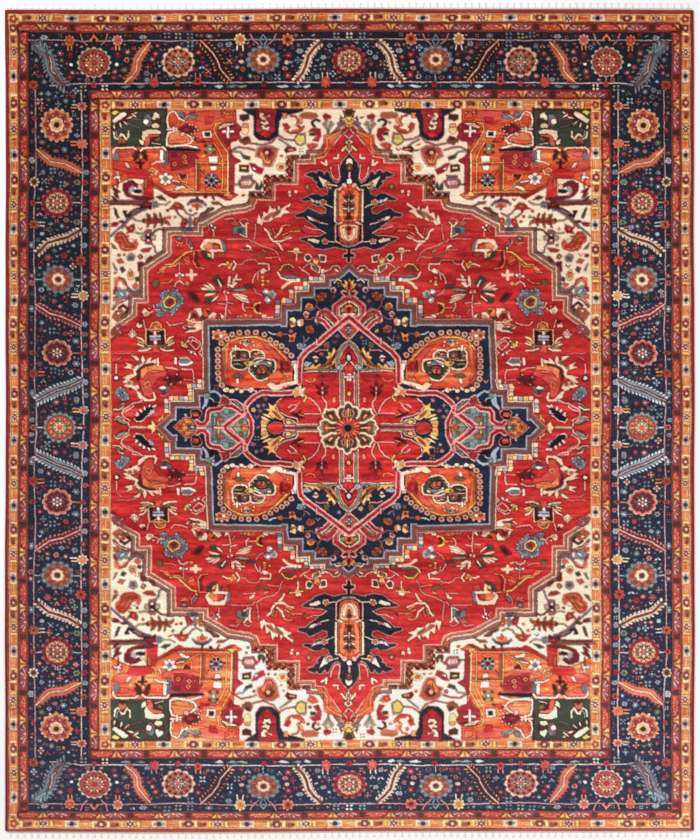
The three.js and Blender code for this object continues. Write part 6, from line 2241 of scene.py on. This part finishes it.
# painted pool of light: the middle of the rug round the medallion is painted brighter
painted_light_gain = painted_light_gain + 0.20 * np.exp(-((kv - 428.0) / 90.0) ** 2 - ((ku - 349.0) / 140.0) ** 2)
# colour of the painted sheen veil: bluish on the main border, warm elsewhere
painted_sheen_tint = np.where(in_main[..., None], np.array([0.72, 1.0, 1.7]), np.array([1.0, 0.92, 0.90]))
navy = loom.lot == ord('N')
linear = np.where(navy[..., None], linear * np.exp(0.34 * rng.standard_normal((NY, NX)) - 0.05)[..., None], linear)
# painted shade: the main border is painted darker where the ramp is low, toward the head end and the left
linear *= np.where(in_main, 0.88 + 0.12 * np.clip(painted_light_ramp * 2.4, 0, 1), 1.0)[..., None]
# painted shade: the border bands to the left of the field are painted darker
linear *= np.where(~in_field & (ku < 112), 0.90, 1.0)[..., None]
# painted shade: the field is painted darker toward the head end
linear *= np.where(in_field, 0.92 + 0.08 * np.clip((kv - 300.0) / 120.0, 0, 1), 1.0)[..., None]
in_stripe = np.zeros(ku.shape, dtype=bool)
for n in (2, 4):
    outer = (ku > LEFT_LINES[n]) & (ku < RIGHT_LINES[n]) & (kv > HEAD_LINES[n]) & (kv < FOOT_LINES[n])
    inner = (ku > LEFT_LINES[n + 1]) & (ku < RIGHT_LINES[n + 1]) & (kv > HEAD_LINES[n + 1]) & (kv < FOOT_LINES[n + 1])
    in_stripe |= outer & ~inner
# painted light and shade: the two red stripes are painted darker at the head end and brighter along the ramp, the other
# bands only a little; the stripes get less of the painted sheen
linear *= np.where(in_stripe, 0.84 + 0.28 * painted_light_ramp ** 1.5, np.where(in_field, 1.0, 0.95 + 0.07 * painted_light_ramp))[..., None]
painted_sheen_lift = np.where(in_stripe, painted_sheen_lift * 0.7, painted_sheen_lift)
# painted light: the outer bands and the main border are painted brighter toward the right-hand side
painted_light_gain = painted_light_gain + np.where(in_main | in_field, 0.0, 0.10 * np.clip((ku - 560.0) / 60.0, 0, 1))
painted_light_gain = painted_light_gain + np.where(in_main, 0.22 * np.clip((ku - 560.0) / 60.0, 0, 1) * np.clip((kv - 60.0) / 150.0, 0, 1), 0.0)
# painted sheen: more veil in the field toward the foot end, a random share on the navy, a little more on the main
# border at the foot end
painted_sheen_lift = painted_sheen_lift + np.where(in_field, 0.010 * low, 0.0)
painted_sheen_lift = painted_sheen_lift * np.where(navy, np.exp(0.5 * rng.standard_normal((NY, NX)) - 0.12), 1.0)
painted_sheen_lift = painted_sheen_lift + np.where(in_main, 0.003 * np.clip((kv - 740.0) / 20.0, 0, 1), 0.0)
# the painted light is multiplied into the colours and the painted sheen veil is added on top
linear = linear * (1 + painted_light_gain[..., None]) + painted_sheen_lift[..., None] * painted_sheen_tint
linear = np.clip(linear, 0.0, 0.93)

# -------------------------------------------------------------------- the pile surface
uu = np.linspace(U0, U1, NX)
vv = np.linspace(V0, V1, NY)
GU, GV = np.meshgrid(uu, vv)
gx, gy = metres(GU, GV)
px, py = drift(gx, gy)
edge = np.zeros((NY, NX))
lum = pattern @ np.array([0.3, 0.59, 0.11])
edge[:, 1:-1] = np.abs(lum[:, 2:] - lum[:, :-2])
edge[1:-1, :] += np.abs(lum[2:, :] - lum[:-2, :])
height = 0.01055 + 0.00016 * rng.standard_normal((NY, NX)) + 0.00014 * smooth_noise(NY, NX, 60, 44, rng) - 0.0004 * np.clip(edge * 2.0, 0, 1)
rim = np.minimum.reduce([np.arange(NX)[None, :] + np.zeros((NY, 1)), (NX - 1 - np.arange(NX))[None, :] + np.zeros((NY, 1)),
                         np.arange(NY)[:, None] + np.zeros((1, NX)), (NY - 1 - np.arange(NY))[:, None] + np.zeros((1, NX))])
height -= 0.0030 * np.exp(-rim / 1.1)
height = np.clip(height, 0.0040, 0.01098)

# which part of the rug every cell of the knot grid belongs to
cu = (GU[:-1, :-1] + GU[1:, 1:]) / 2
cv = (GV[:-1, :-1] + GV[1:, 1:]) / 2
zone = np.full(cu.shape, -1, dtype=int)
ZONES = []


def true_turn(u, v, q):
    return (to_right(u) if q in (1, 3) else u), (to_foot(v) if q in (2, 3) else v)


def claim(name, mask):
    ZONES.append(name)
    zone[mask & (zone < 0)] = len(ZONES) - 1


def outline_mask(pts):
    xs = [p[0] for p in pts]; ys = [p[1] for p in pts]
    out = np.zeros(cu.shape, dtype=bool)
    i0, i1 = np.searchsorted(uu, [min(xs) - 1, max(xs) + 1]); j0, j1 = np.searchsorted(vv, [min(ys) - 1, max(ys) + 1])
    i0, j0 = max(0, i0 - 1), max(0, j0 - 1)
    out[j0:j1, i0:i1] = Loom.inside(cu[j0:j1, i0:i1], cv[j0:j1, i0:i1], pts)
    return out


def listed(s):
    return [tuple(map(float, t.split(','))) for t in s.split()]


CORNERS = (("head_left", 0), ("head_right", 1), ("foot_left", 2), ("foot_right", 3))
md = listed(MEDALLION_LINE)
ring = [true_turn(x, y, 0) for x, y in md] + [true_turn(x, y, 2) for x, y in md][::-1] + [true_turn(x, y, 3) for x, y in md] + [true_turn(x, y, 1) for x, y in md][::-1]
claim("medallion", outline_mask(ring))
pd = listed(PENDANT_LINE)
claim("pendant_head", outline_mask([true_turn(x, y, 0) for x, y in pd] + [true_turn(x, y, 1) for x, y in pd][::-1]))
claim("pendant_foot", outline_mask([true_turn(x, y, 2) for x, y in pd] + [true_turn(x, y, 3) for x, y in pd][::-1]))
for label, q in CORNERS:
    claim("corner_" + label, outline_mask([true_turn(x, y, q) for x, y in listed(CORNER_LINE) + [(111.0, 110.0)]]))
for label, q in CORNERS:
    claim("spandrel_" + label, outline_mask([true_turn(x, y, q) for x, y in listed(SPANDREL_LINE) + [(111.0, 110.0), (349.0, 110.0)]]))
field = (cu > LEFT_LINES[6]) & (cu < RIGHT_LINES[6]) & (cv > HEAD_LINES[6]) & (cv < FOOT_LINES[6])
for label, q in CORNERS:
    half = ((cu < 349.0) if q in (0, 2) else (cu >= 349.0)) & ((cv < 427.5) if q in (0, 1) else (cv >= 427.5))
    claim("field_ground_" + label, field & half)
BANDS = ("edge_band", "outer_guard", "outer_stripe", "main_border", "inner_stripe", "inner_guard")
for i, band in enumerate(BANDS):
    lo_u, hi_u, lo_v, hi_v = LEFT_LINES[i], RIGHT_LINES[i], HEAD_LINES[i], FOOT_LINES[i]
    in_u, in_v = (cu > lo_u) & (cu < hi_u), (cv > lo_v) & (cv < hi_v)
    claim(band + "_head", in_u & (cv > lo_v) & (cv < HEAD_LINES[i + 1]))
    claim(band + "_foot", in_u & (cv < hi_v) & (cv > FOOT_LINES[i + 1]))
    claim(band + "_left", in_v & (cu > lo_u) & (cu < LEFT_LINES[i + 1]))
    claim(band + "_right", in_v & (cu < hi_u) & (cu > RIGHT_LINES[i + 1]))
loose = np.argwhere(zone < 0)
for j, i in loose:                      # cells right on the rim
    jj, ii = min(max(j, 1), zone.shape[0] - 2), min(max(i, 1), zone.shape[1] - 2)
    zone[j, i] = zone[jj, ii] if zone[jj, ii] >= 0 else ZONES.index("edge_band_head")


def make_mesh(name, co, quads, colours=None, smooth=True):
    me = bpy.data.meshes.new(name)
    me.vertices.add(len(co))
    me.vertices.foreach_set("co", np.ascontiguousarray(co, dtype=np.float32).ravel())
    k = quads.shape[1]
    me.loops.add(quads.size)
    me.loops.foreach_set("vertex_index", np.ascontiguousarray(quads, dtype=np.int32).ravel())
    me.polygons.add(len(quads))
    me.polygons.foreach_set("loop_start", np.arange(0, quads.size, k, dtype=np.int32))
    me.polygons.foreach_set("loop_total", np.full(len(quads), k, dtype=np.int32))
    me.polygons.foreach_set("use_smooth", np.full(len(quads), smooth))
    me.update(calc_edges=True)
    if colours is not None:
        a = me.color_attributes.new("dye", "FLOAT_COLOR", "POINT")
        rgba = np.ones((len(co), 4), dtype=np.float32)
        rgba[:, :3] = colours
        a.data.foreach_set("color", rgba.ravel())
    me.validate()
    ob = bpy.data.objects.new(name, me)
    bpy.context.collection.objects.link(ob)
    return ob


# -------------------------------------------------------------------- materials
def nodes_of(name):
    mat = bpy.data.materials.new(name)
    mat.use_nodes = True
    nt = mat.node_tree
    bsdf = nt.nodes.get("Principled BSDF")
    return mat, nt, bsdf


def wire(nt, a, b):
    nt.links.new(a, b)


def node(nt, kind, **kw):
    n = nt.nodes.new(kind)
    for k, v in kw.items():
        setattr(n, k, v)
    return n


def position(nt, scale):
    tc = node(nt, "ShaderNodeTexCoord")
    mp = node(nt, "ShaderNodeMapping")
    mp.inputs["Scale"].default_value = scale
    wire(nt, tc.outputs["Object"], mp.inputs["Vector"])
    return mp.outputs["Vector"]


def noise(nt, vec, scale, detail=2.0, rough=0.5):
    n = node(nt, "ShaderNodeTexNoise")
    n.inputs["Scale"].default_value = scale
    n.inputs["Detail"].default_value = detail
    n.inputs["Roughness"].default_value = rough
    wire(nt, vec, n.inputs["Vector"])
    return n.outputs["Fac"]


def math_node(nt, op, a, b=None, c=None):
    m = node(nt, "ShaderNodeMath", operation=op)
    for i, s in enumerate((a, b, c)):
        if s is None:
            continue
        if isinstance(s, (int, float)):
            m.inputs[i].default_value = s
        else:
            wire(nt, s, m.inputs[i])
    return m.outputs[0]


def tint(nt, colour, factor):
    """colour times a grey factor socket"""
    v = node(nt, "ShaderNodeVectorMath", operation="SCALE")
    wire(nt, colour, v.inputs[0])
    wire(nt, factor, v.inputs["Scale"])
    return v.outputs[0]


def wool_pile(name, sheen=0.05, knots=0.5):
    mat, nt, bsdf = nodes_of(name)
    at = node(nt, "ShaderNodeAttribute", attribute_name="dye")
    fibre = noise(nt, position(nt, (1.0, 1.0, 1.0)), 900.0, 2.0, 0.6)
    streak = noise(nt, position(nt, (14.0, 300.0, 1.0)), 1.0, 3.0, 0.65)
    tuft = noise(nt, position(nt, (1.0, 1.0, 1.0)), 260.0, 1.0, 0.5)
    f = math_node(nt, "MULTIPLY_ADD", fibre, 0.30, 0.85)
    s = math_node(nt, "MULTIPLY_ADD", streak, 0.50, 0.75)
    t = math_node(nt, "MULTIPLY_ADD", tuft, 0.30, 0.85)
    k = math_node(nt, "MULTIPLY", math_node(nt, "MULTIPLY", f, s), t)
    wire(nt, tint(nt, at.outputs["Color"], k), bsdf.inputs["Base Color"])
    bsdf.inputs["Roughness"].default_value = 0.92
    bsdf.inputs["Specular IOR Level"].default_value = 0.10
    bsdf.inputs["Sheen Weight"].default_value = sheen
    bsdf.inputs["Sheen Roughness"].default_value = 0.6
    h = math_node(nt, "ADD", math_node(nt, "MULTIPLY", tuft, 0.6), math_node(nt, "MULTIPLY", streak, 0.5))
    h = math_node(nt, "ADD", h, math_node(nt, "MULTIPLY", fibre, 0.35))
    b = node(nt, "ShaderNodeBump")
    b.inputs["Strength"].default_value = knots
    b.inputs["Distance"].default_value = 0.0012
    wire(nt, h, b.inputs["Height"])
    wire(nt, b.outputs["Normal"], bsdf.inputs["Normal"])
    return mat


def yarn(name, rgb, dark=0.75, grain=(500.0, 500.0, 500.0), bump=0.4, rough=0.9, sheen=0.1, twist=None):
    mat, nt, bsdf = nodes_of(name)
    n1 = noise(nt, position(nt, (1.0, 1.0, 1.0)), 700.0, 2.0, 0.6)
    n2 = noise(nt, position(nt, grain), 1.0, 2.0, 0.5)
    big = noise(nt, position(nt, (1.0, 1.0, 1.0)), 14.0, 2.0, 0.5)
    k = math_node(nt, "MULTIPLY_ADD", math_node(nt, "ADD", math_node(nt, "MULTIPLY", n1, 0.4), math_node(nt, "MULTIPLY", n2, 0.6)), 2 * (1 - dark), dark)
    k = math_node(nt, "MULTIPLY", k, math_node(nt, "MULTIPLY_ADD", big, 0.24, 0.88))
    col = node(nt, "ShaderNodeCombineXYZ")
    for i in range(3):
        col.inputs[i].default_value = float(to_linear(np.array(rgb[i] / 255.0)))
    wire(nt, tint(nt, col.outputs[0], k), bsdf.inputs["Base Color"])
    bsdf.inputs["Roughness"].default_value = rough
    bsdf.inputs["Specular IOR Level"].default_value = 0.2
    bsdf.inputs["Sheen Weight"].default_value = sheen
    b = node(nt, "ShaderNodeBump")
    b.inputs["Strength"].default_value = bump
    b.inputs["Distance"].default_value = 0.0008
    wire(nt, math_node(nt, "ADD", n1, n2), b.inputs["Height"])
    wire(nt, b.outputs["Normal"], bsdf.inputs["Normal"])
    return mat


def knot_backs(name):
    """the back of the rug: the same dyes, flatter, ribbed by warps and flecked with cotton weft"""
    mat, nt, bsdf = nodes_of(name)
    at = node(nt, "ShaderNodeAttribute", attribute_name="dye")
    rows = noise(nt, position(nt, (120.0, 420.0, 1.0)), 1.0, 1.0, 0.5)
    cols = node(nt, "ShaderNodeTexWave", wave_type="BANDS", bands_direction="X", wave_profile="SIN")
    cols.inputs["Scale"].default_value = 62.0
    cols.inputs["Distortion"].default_value = 0.6
    wire(nt, position(nt, (1.0, 1.0, 1.0)), cols.inputs["Vector"])
    fleck = math_node(nt, "GREATER_THAN", rows, 0.60)
    k = math_node(nt, "MULTIPLY_ADD", cols.outputs["Fac"], 0.30, 0.70)
    base = tint(nt, at.outputs["Color"], k)
    mix = node(nt, "ShaderNodeMix", data_type="RGBA")
    wire(nt, math_node(nt, "MULTIPLY", fleck, 0.45), mix.inputs[0])
    wire(nt, base, mix.inputs[6])
    mix.inputs[7].default_value = (0.62, 0.55, 0.43, 1.0)
    wire(nt, mix.outputs[2], bsdf.inputs["Base Color"])
    bsdf.inputs["Roughness"].default_value = 0.9
    bsdf.inputs["Specular IOR Level"].default_value = 0.2
    b = node(nt, "ShaderNodeBump")
    b.inputs["Strength"].default_value = 0.5
    b.inputs["Distance"].default_value = 0.0008
    wire(nt, math_node(nt, "ADD", cols.outputs["Fac"], rows), b.inputs["Height"])
    wire(nt, b.outputs["Normal"], bsdf.inputs["Normal"])
    return mat


PILE = wool_pile("knotted_wool")
BACK = knot_backs("knot_backs")
RED_YARN = yarn("selvedge_wool", (140, 42, 38), 0.7, (300.0, 900.0, 300.0), 0.6)
COTTON = yarn("cotton_yarn", (255, 252, 246), 0.96, (900.0, 260.0, 900.0), 0.5)
COTTON_FLAT = yarn("cotton_flatweave", (240, 230, 212), 0.86, (420.0, 1200.0, 300.0), 0.6)

# -------------------------------------------------------------------- pile, one piece for each patch of colour
flat_xy = np.stack([px, py, height], axis=-1).reshape(-1, 3)
flat_rgb = linear.reshape(-1, 3)
for zi, zname in enumerate(ZONES):
    mask = zone == zi
    cells = np.argwhere(mask)
    if not len(cells):
        continue
    j, i = cells[:, 0], cells[:, 1]
    a = j * NX + i
    quads = np.stack([a, a + NX, a + NX + 1, a + 1], axis=1)
    padded = np.pad(mask, 1)
    walls = []
    for dj, di, e0, e1 in ((-1, 0, 0, 1), (1, 0, NX + 1, NX), (0, -1, NX, 0), (0, 1, 1, NX + 1)):
        open_side = mask & ~padded[1 + dj:1 + dj + mask.shape[0], 1 + di:1 + di + mask.shape[1]]
        c = np.argwhere(open_side)
        base = c[:, 0] * NX + c[:, 1]
        walls.append(np.stack([base + e0, base + e1], axis=1))
    walls = np.concatenate(walls)
    used, inverse = np.unique(quads, return_inverse=True)
    quads = inverse.reshape(quads.shape)
    co = flat_xy[used]
    rgb = flat_rgb[used]
    wall_verts, winv = np.unique(walls, return_inverse=True)
    winv = winv.reshape(walls.shape)
    top_index = np.searchsorted(used, wall_verts)
    low = flat_xy[wall_verts].copy(); low[:, 2] = 0.0033
    # painted shade: the side walls of the pile are painted darker toward their base
    shaded_wall_rgb = flat_rgb[wall_verts] * 0.6
    n0 = len(co)
    side = np.stack([top_index[winv[:, 0]], top_index[winv[:, 1]], n0 + winv[:, 1], n0 + winv[:, 0]], axis=1)
    ob = make_mesh("pile_" + zname, np.concatenate([co, low]), np.concatenate([quads, side]), np.concatenate([rgb, shaded_wall_rgb]))
    ob.data.materials.append(PILE)
    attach(ob, "rug")
    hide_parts(zname)

# -------------------------------------------------------------------- ground weave, one sheet under all the pile
GN, GM = 300, 330
bx = np.linspace(-1.2207, 1.2207, GN); by = np.linspace(BODY_Y1, BODY_Y0, GM)
BX, BY = np.meshgrid(bx, by)
wx, wy = drift(BX, BY)
su = np.clip(((BX / SQ + MID_U) - U0) / (U1 - U0) * (NX - 1), 0, NX - 1).astype(int)
sv = np.clip(((MID_V - BY / SQ) - V0) / (V1 - V0) * (NY - 1), 0, NY - 1).astype(int)
soft = linear.copy()
for ax in (0, 1):
    soft = (np.roll(soft, 1, ax) + soft * 2 + np.roll(soft, -1, ax)) / 4
under = np.stack([wx, wy, 0.0002 + 0.0001 * rng.random(BX.shape)], axis=-1).reshape(-1, 3)
under_rgb = (soft[sv, su] * 0.8 + 0.02).reshape(-1, 3)
idx = np.arange(GN * GM).reshape(GM, GN)
uq = np.stack([idx[:-1, :-1], idx[:-1, 1:], idx[1:, 1:], idx[1:, :-1]], axis=-1).reshape(-1, 4)
step = 10
ti = np.concatenate([np.arange(0, GN - 1, step), [GN - 1]]); tj = np.concatenate([np.arange(0, GM - 1, step), [GM - 1]])
rim_loop = np.concatenate([idx[0, :-1], idx[:-1, -1], idx[-1, :0:-1], idx[:0:-1, 0]])
top_ring = under[rim_loop].copy(); top_ring[:, 2] = 0.0030
n1 = len(under)
k = np.arange(len(rim_loop)); k2 = (k + 1) % len(rim_loop)
side = np.stack([rim_loop[k], n1 + k, n1 + k2, rim_loop[k2]], axis=1)
tgrid = under.reshape(GM, GN, 3)[np.ix_(tj, ti)].reshape(-1, 3).copy(); tgrid[:, 2] = 0.0030
n2 = n1 + len(top_ring)
tidx = n2 + np.arange(len(tj) * len(ti)).reshape(len(tj), len(ti))
tq = np.stack([tidx[:-1, :-1], tidx[1:, :-1], tidx[1:, 1:], tidx[:-1, 1:]], axis=-1).reshape(-1, 4)
co = np.concatenate([under, top_ring, tgrid])
rgb = np.concatenate([under_rgb, under_rgb[rim_loop], np.tile([[0.6, 0.52, 0.4]], (len(tgrid), 1))])
ground = make_mesh("ground_weave_cloth", co, np.concatenate([uq, side, tq]), rgb)
ground.data.materials.append(BACK)
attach(ground, "rug"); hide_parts("ground_weave")


# -------------------------------------------------------------------- tubes, for cords, overcasting and fringe
def tubes(name, paths, radii, sides, mat, closed_ends=True):
    """paths: (n, m, 3) points; radii: (n, m). Sections are made in the plane square to each path's general run."""
    P = np.asarray(paths, float); R = np.asarray(radii, float)
    n, m, _ = P.shape
    T = np.gradient(P, axis=1)
    T /= np.maximum(1e-12, np.linalg.norm(T, axis=2, keepdims=True))
    up = np.zeros_like(T); up[..., 2] = 1.0
    A = np.cross(up, T); A /= np.maximum(1e-9, np.linalg.norm(A, axis=2, keepdims=True))
    B = np.cross(T, A)
    ang = 2 * np.pi * np.arange(sides) / sides
    ring = P[:, :, None, :] + R[:, :, None, None] * (A[:, :, None, :] * np.cos(ang)[None, None, :, None] + B[:, :, None, :] * np.sin(ang)[None, None, :, None])
    co = ring.reshape(-1, 3)
    ix = np.arange(n * m * sides).reshape(n, m, sides)
    nx = np.roll(ix, -1, axis=2)
    q = np.stack([ix[:, :-1], nx[:, :-1], nx[:, 1:], ix[:, 1:]], axis=-1).reshape(-1, 4)
    ends = []
    if closed_ends and sides == 6:
        for s in (0, -1):
            e = ix[:, s] if s == 0 else ix[:, s]
            e = e[:, ::-1] if s == 0 else e
            ends.append(e[:, [0, 1, 2, 3]]); ends.append(e[:, [0, 3, 4, 5]])
    if ends:
        q = np.concatenate([q] + ends)
    ob = make_mesh(name, co, q)
    ob.data.materials.append(mat)
    return ob


side_pieces = []
for label, sgn in (("left", -1.0), ("right", 1.0)):
    # overcast wool wrap: an oval sleeve whose turns stand a little proud, one every four millimetres
    turns = 732
    per = 4
    y = np.linspace(BODY_Y0, BODY_Y1, turns * per + 1)
    gen = np.random.default_rng(61 if sgn < 0 else 62)
    swell = np.abs(np.sin(np.pi * np.arange(len(y)) / per)) ** 0.7
    fat = np.repeat(gen.uniform(-0.00015, 0.00015, turns + 1), per)[:len(y)]
    ang = 2 * np.pi * np.arange(12) / 12
    cx = sgn * 1.2251
    grow = 0.86 + 0.11 * swell[:, None] + 0 * ang[None, :]
    # the last turns close on the cord
    for k, shut in enumerate((0.54, 0.74, 0.88, 0.96)):
        grow[k] *= shut; grow[-1 - k] *= shut
    X = cx + 0.0038 * np.cos(ang)[None, :] * grow
    Z = 0.0033 + (0.0032 * np.sin(ang)[None, :]) * grow + fat[:, None] * 0.5
    Y = y[:, None] + 0.0011 * np.sin(ang)[None, :]
    Y = np.clip(Y, BODY_Y0, BODY_Y1)
    DX, DY = drift(np.full_like(Y, cx), Y)
    co = np.stack([X + DX - cx, DY, np.clip(Z, 0.0, 0.0066)], axis=-1).reshape(-1, 3)
    ix = np.arange(len(co)).reshape(len(y), 12)
    nxt = np.roll(ix, -1, axis=1)
    q = np.stack([ix[:-1], nxt[:-1], nxt[1:], ix[1:]], axis=-1).reshape(-1, 4)
    wrap = make_mesh("overcast_" + label, co, q)
    wrap.data.materials.append(RED_YARN)
    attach(wrap, "rug"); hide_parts("selvedge_wrap_" + label)
    yy = np.linspace(BODY_Y0, BODY_Y1, 160)
    wxx, wyy = drift(np.full_like(yy, cx), yy)
    cord = tubes("cord_" + label, np.stack([wxx, wyy, np.full_like(yy, 0.0033)], axis=-1)[None], np.full((1, 160), 0.0016), 6, COTTON)
    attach(cord, "rug"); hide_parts("selvedge_cord_" + label)
    side_pieces += [wrap, cord]

# -------------------------------------------------------------------- flat-woven ends, knots, fringe
TASSELS = 98
PITCH = 0.02492
for label, sgn, y0, seed in (("head", 1.0, BODY_Y1, 71), ("foot", -1.0, -BODY_Y0, 72)):
    gen = np.random.default_rng(seed)
    # flatweave strip, ribbed by its weft
    nx_, ny_ = 1400, 9
    xs = np.linspace(-1.2205, 1.2205, nx_)
    ts = np.linspace(0.0002, 0.0060, ny_)
    X, T_ = np.meshgrid(xs, ts)
    z = 0.0019 + 0.00035 * np.cos(2 * np.pi * T_ / 0.00145) + 0.00022 * np.cos(2 * np.pi * X / 0.0051) + 0.00008 * gen.standard_normal(X.shape)
    wx_, wy_ = drift(X, sgn * (y0 + T_))
    top = np.stack([wx_, wy_, np.clip(z, 0.0004, 0.0026)], axis=-1).reshape(-1, 3)
    bot = top.copy(); bot[:, 2] = 0.0001
    ix = np.arange(nx_ * ny_).reshape(ny_, nx_)
    tq = np.stack([ix[:-1, :-1], ix[:-1, 1:], ix[1:, 1:], ix[1:, :-1]], axis=-1).reshape(-1, 4)
    bq = tq[:, ::-1] + nx_ * ny_
    lp = np.concatenate([ix[0, :-1], ix[:-1, -1], ix[-1, :0:-1], ix[:0:-1, 0]])
    l2 = np.roll(lp, -1)
    sq = np.stack([lp, lp + nx_ * ny_, l2 + nx_ * ny_, l2], axis=-1)
    if sgn > 0:
        pass
    kil = make_mesh("flatweave_" + label, np.concatenate([top, bot]), np.concatenate([tq, bq, sq]))
    kil.data.materials.append(COTTON_FLAT)
    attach(kil, "rug"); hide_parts("kilim_end_" + label)
    # warp knots: one lump where each bundle of warps is tied
    kx = (np.arange(TASSELS) - (TASSELS - 1) / 2) * PITCH
    la, lo = 9, 12
    th = np.linspace(0, np.pi, la); ph = 2 * np.pi * np.arange(lo) / lo
    unit = np.stack([np.sin(th)[:, None] * np.cos(ph)[None], np.cos(th)[:, None] + 0 * ph[None], np.sin(th)[:, None] * np.sin(ph)[None]], axis=-1)
    co, qs = [], []
    for n, x in enumerate(kx):
        s = unit * np.array([0.0036 + gen.uniform(-0.0004, 0.0004), 0.00165, 0.00142])
        lump = s.reshape(-1, 3) + np.array([x + gen.uniform(-0.0006, 0.0006), 0.0, 0.0015])
        turn = 0.0002 * np.sin(lump[:, 0] * 3200 + lump[:, 1] * 2600 + n)
        lump[:, 2] = np.clip(lump[:, 2] + turn, 0.0, 0.00298)
        yl = y0 + 0.0080 + lump[:, 1]
        wx_, wy_ = drift(np.full(len(lump), x), sgn * (y0 + 0.008))
        co.append(np.stack([lump[:, 0] + wx_ - x, wy_ + sgn * lump[:, 1], lump[:, 2]], axis=-1))
        ixl = n * la * lo + np.arange(la * lo).reshape(la, lo)
        nl = np.roll(ixl, -1, axis=1)
        qs.append(np.stack([ixl[:-1], ixl[1:], nl[1:], nl[:-1]], axis=-1).reshape(-1, 4))
    knots = make_mesh("warp_knots_" + label, np.concatenate(co), np.concatenate(qs))
    knots.data.materials.append(COTTON)
    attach(knots, "rug"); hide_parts("end_knots_" + label)
    # fringe: nine warps in every bundle, fanning out from its knot
    per = 9
    paths, radii = [], []
    for n, x in enumerate(kx):
        lean = gen.uniform(-0.0022, 0.0022)
        for w in range(per):
            off = (w - (per - 1) / 2) / ((per - 1) / 2)
            t = np.linspace(0, 1, 7)
            length = 0.0146 + gen.uniform(-0.0018, 0.0002)
            spread = off * (0.0012 + 0.0050 * t ** 1.2) + lean * t ** 1.5 + gen.uniform(-0.0005, 0.0005) * t + 0.0005 * np.sin(t * 7 + gen.uniform(0, 6)) * t
            ybase = y0 + 0.0101
            zz = 0.0013 + (0.0003 if w % 2 else -0.00025) + 0.00025 * np.sin(t * 5 + gen.uniform(0, 6)) - 0.0004 * t
            wx_, wy_ = drift(np.full(7, x), np.full(7, sgn * (y0 + 0.010)))
            paths.append(np.stack([x + spread + wx_ - x, wy_ + sgn * (0.0001 + t * length), np.clip(zz, 0.00055, 0.0018)], axis=-1))
            radii.append(0.00048 * (1 - 0.25 * t))
    fr = tubes("fringe_strands_" + label, paths, radii, 6, COTTON)
    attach(fr, label + "_fringe"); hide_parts("fringe_" + label)
    side_pieces += [kil, knots, fr]

# -------------------------------------------------------------------- floor, light, camera
bpy.ops.mesh.primitive_plane_add(size=14.0, location=(0, 0, -0.0004))
floor = bpy.context.object
floor.name = "floor"
fm, fnt, fb = nodes_of("pale_floor")
fb.inputs["Base Color"].default_value = (0.985, 0.98, 0.98, 1.0)
fb.inputs["Roughness"].default_value = 0.9
fb.inputs["Specular IOR Level"].default_value = 0.1
floor.data.materials.append(fm)

world = bpy.data.worlds.new("studio")
bpy.context.scene.world = world
world.use_nodes = True
world.node_tree.nodes["Background"].inputs["Color"].default_value = (1.0, 1.0, 1.0, 1.0)
world.node_tree.nodes["Background"].inputs["Strength"].default_value = 0.455


def area(name, loc, size, power, colour=(1, 1, 1)):
    li = bpy.data.lights.new(name, "AREA")
    li.shape = "DISK"
    li.size = size
    li.energy = power
    li.color = colour
    ob = bpy.data.objects.new(name, li)
    bpy.context.collection.objects.link(ob)
    ob.location = loc
    ob.rotation_euler = (Vector((0, 0, 0)) - Vector(loc)).to_track_quat("-Z", "Y").to_euler()
    return ob


area("key", (-3.1, 3.3, 4.8), 2.4, 222)
area("fill", (3.0, -3.8, 5.0), 3.2, 138)

cam = bpy.data.cameras.new("camera")
cam_ob = bpy.data.objects.new("camera", cam)
bpy.context.collection.objects.link(cam_ob)
cam.type = "PERSP"
DIST = 9.0
cx_, cy_ = (350.0 - MID_U) * SQ, (MID_V - 420.0) * SQ
cam_ob.location = (cx_, cy_, DIST)
cam_ob.rotation_euler = (0, 0, 0)
cam.sensor_fit = "VERTICAL"
cam.sensor_height = 36.0
cam.sensor_width = 30.0
cam.lens = 36.0 * (DIST - 0.0106) / (840.0 * SQ)
cam.clip_end = 60.0
bpy.context.scene.camera = cam_ob
bpy.context.scene.view_settings.view_transform = "Standard"
bpy.context.scene.view_settings.look = "None"
bpy.context.scene.view_settings.exposure = 0.0
bpy.context.scene.view_settings.gamma = 1.0
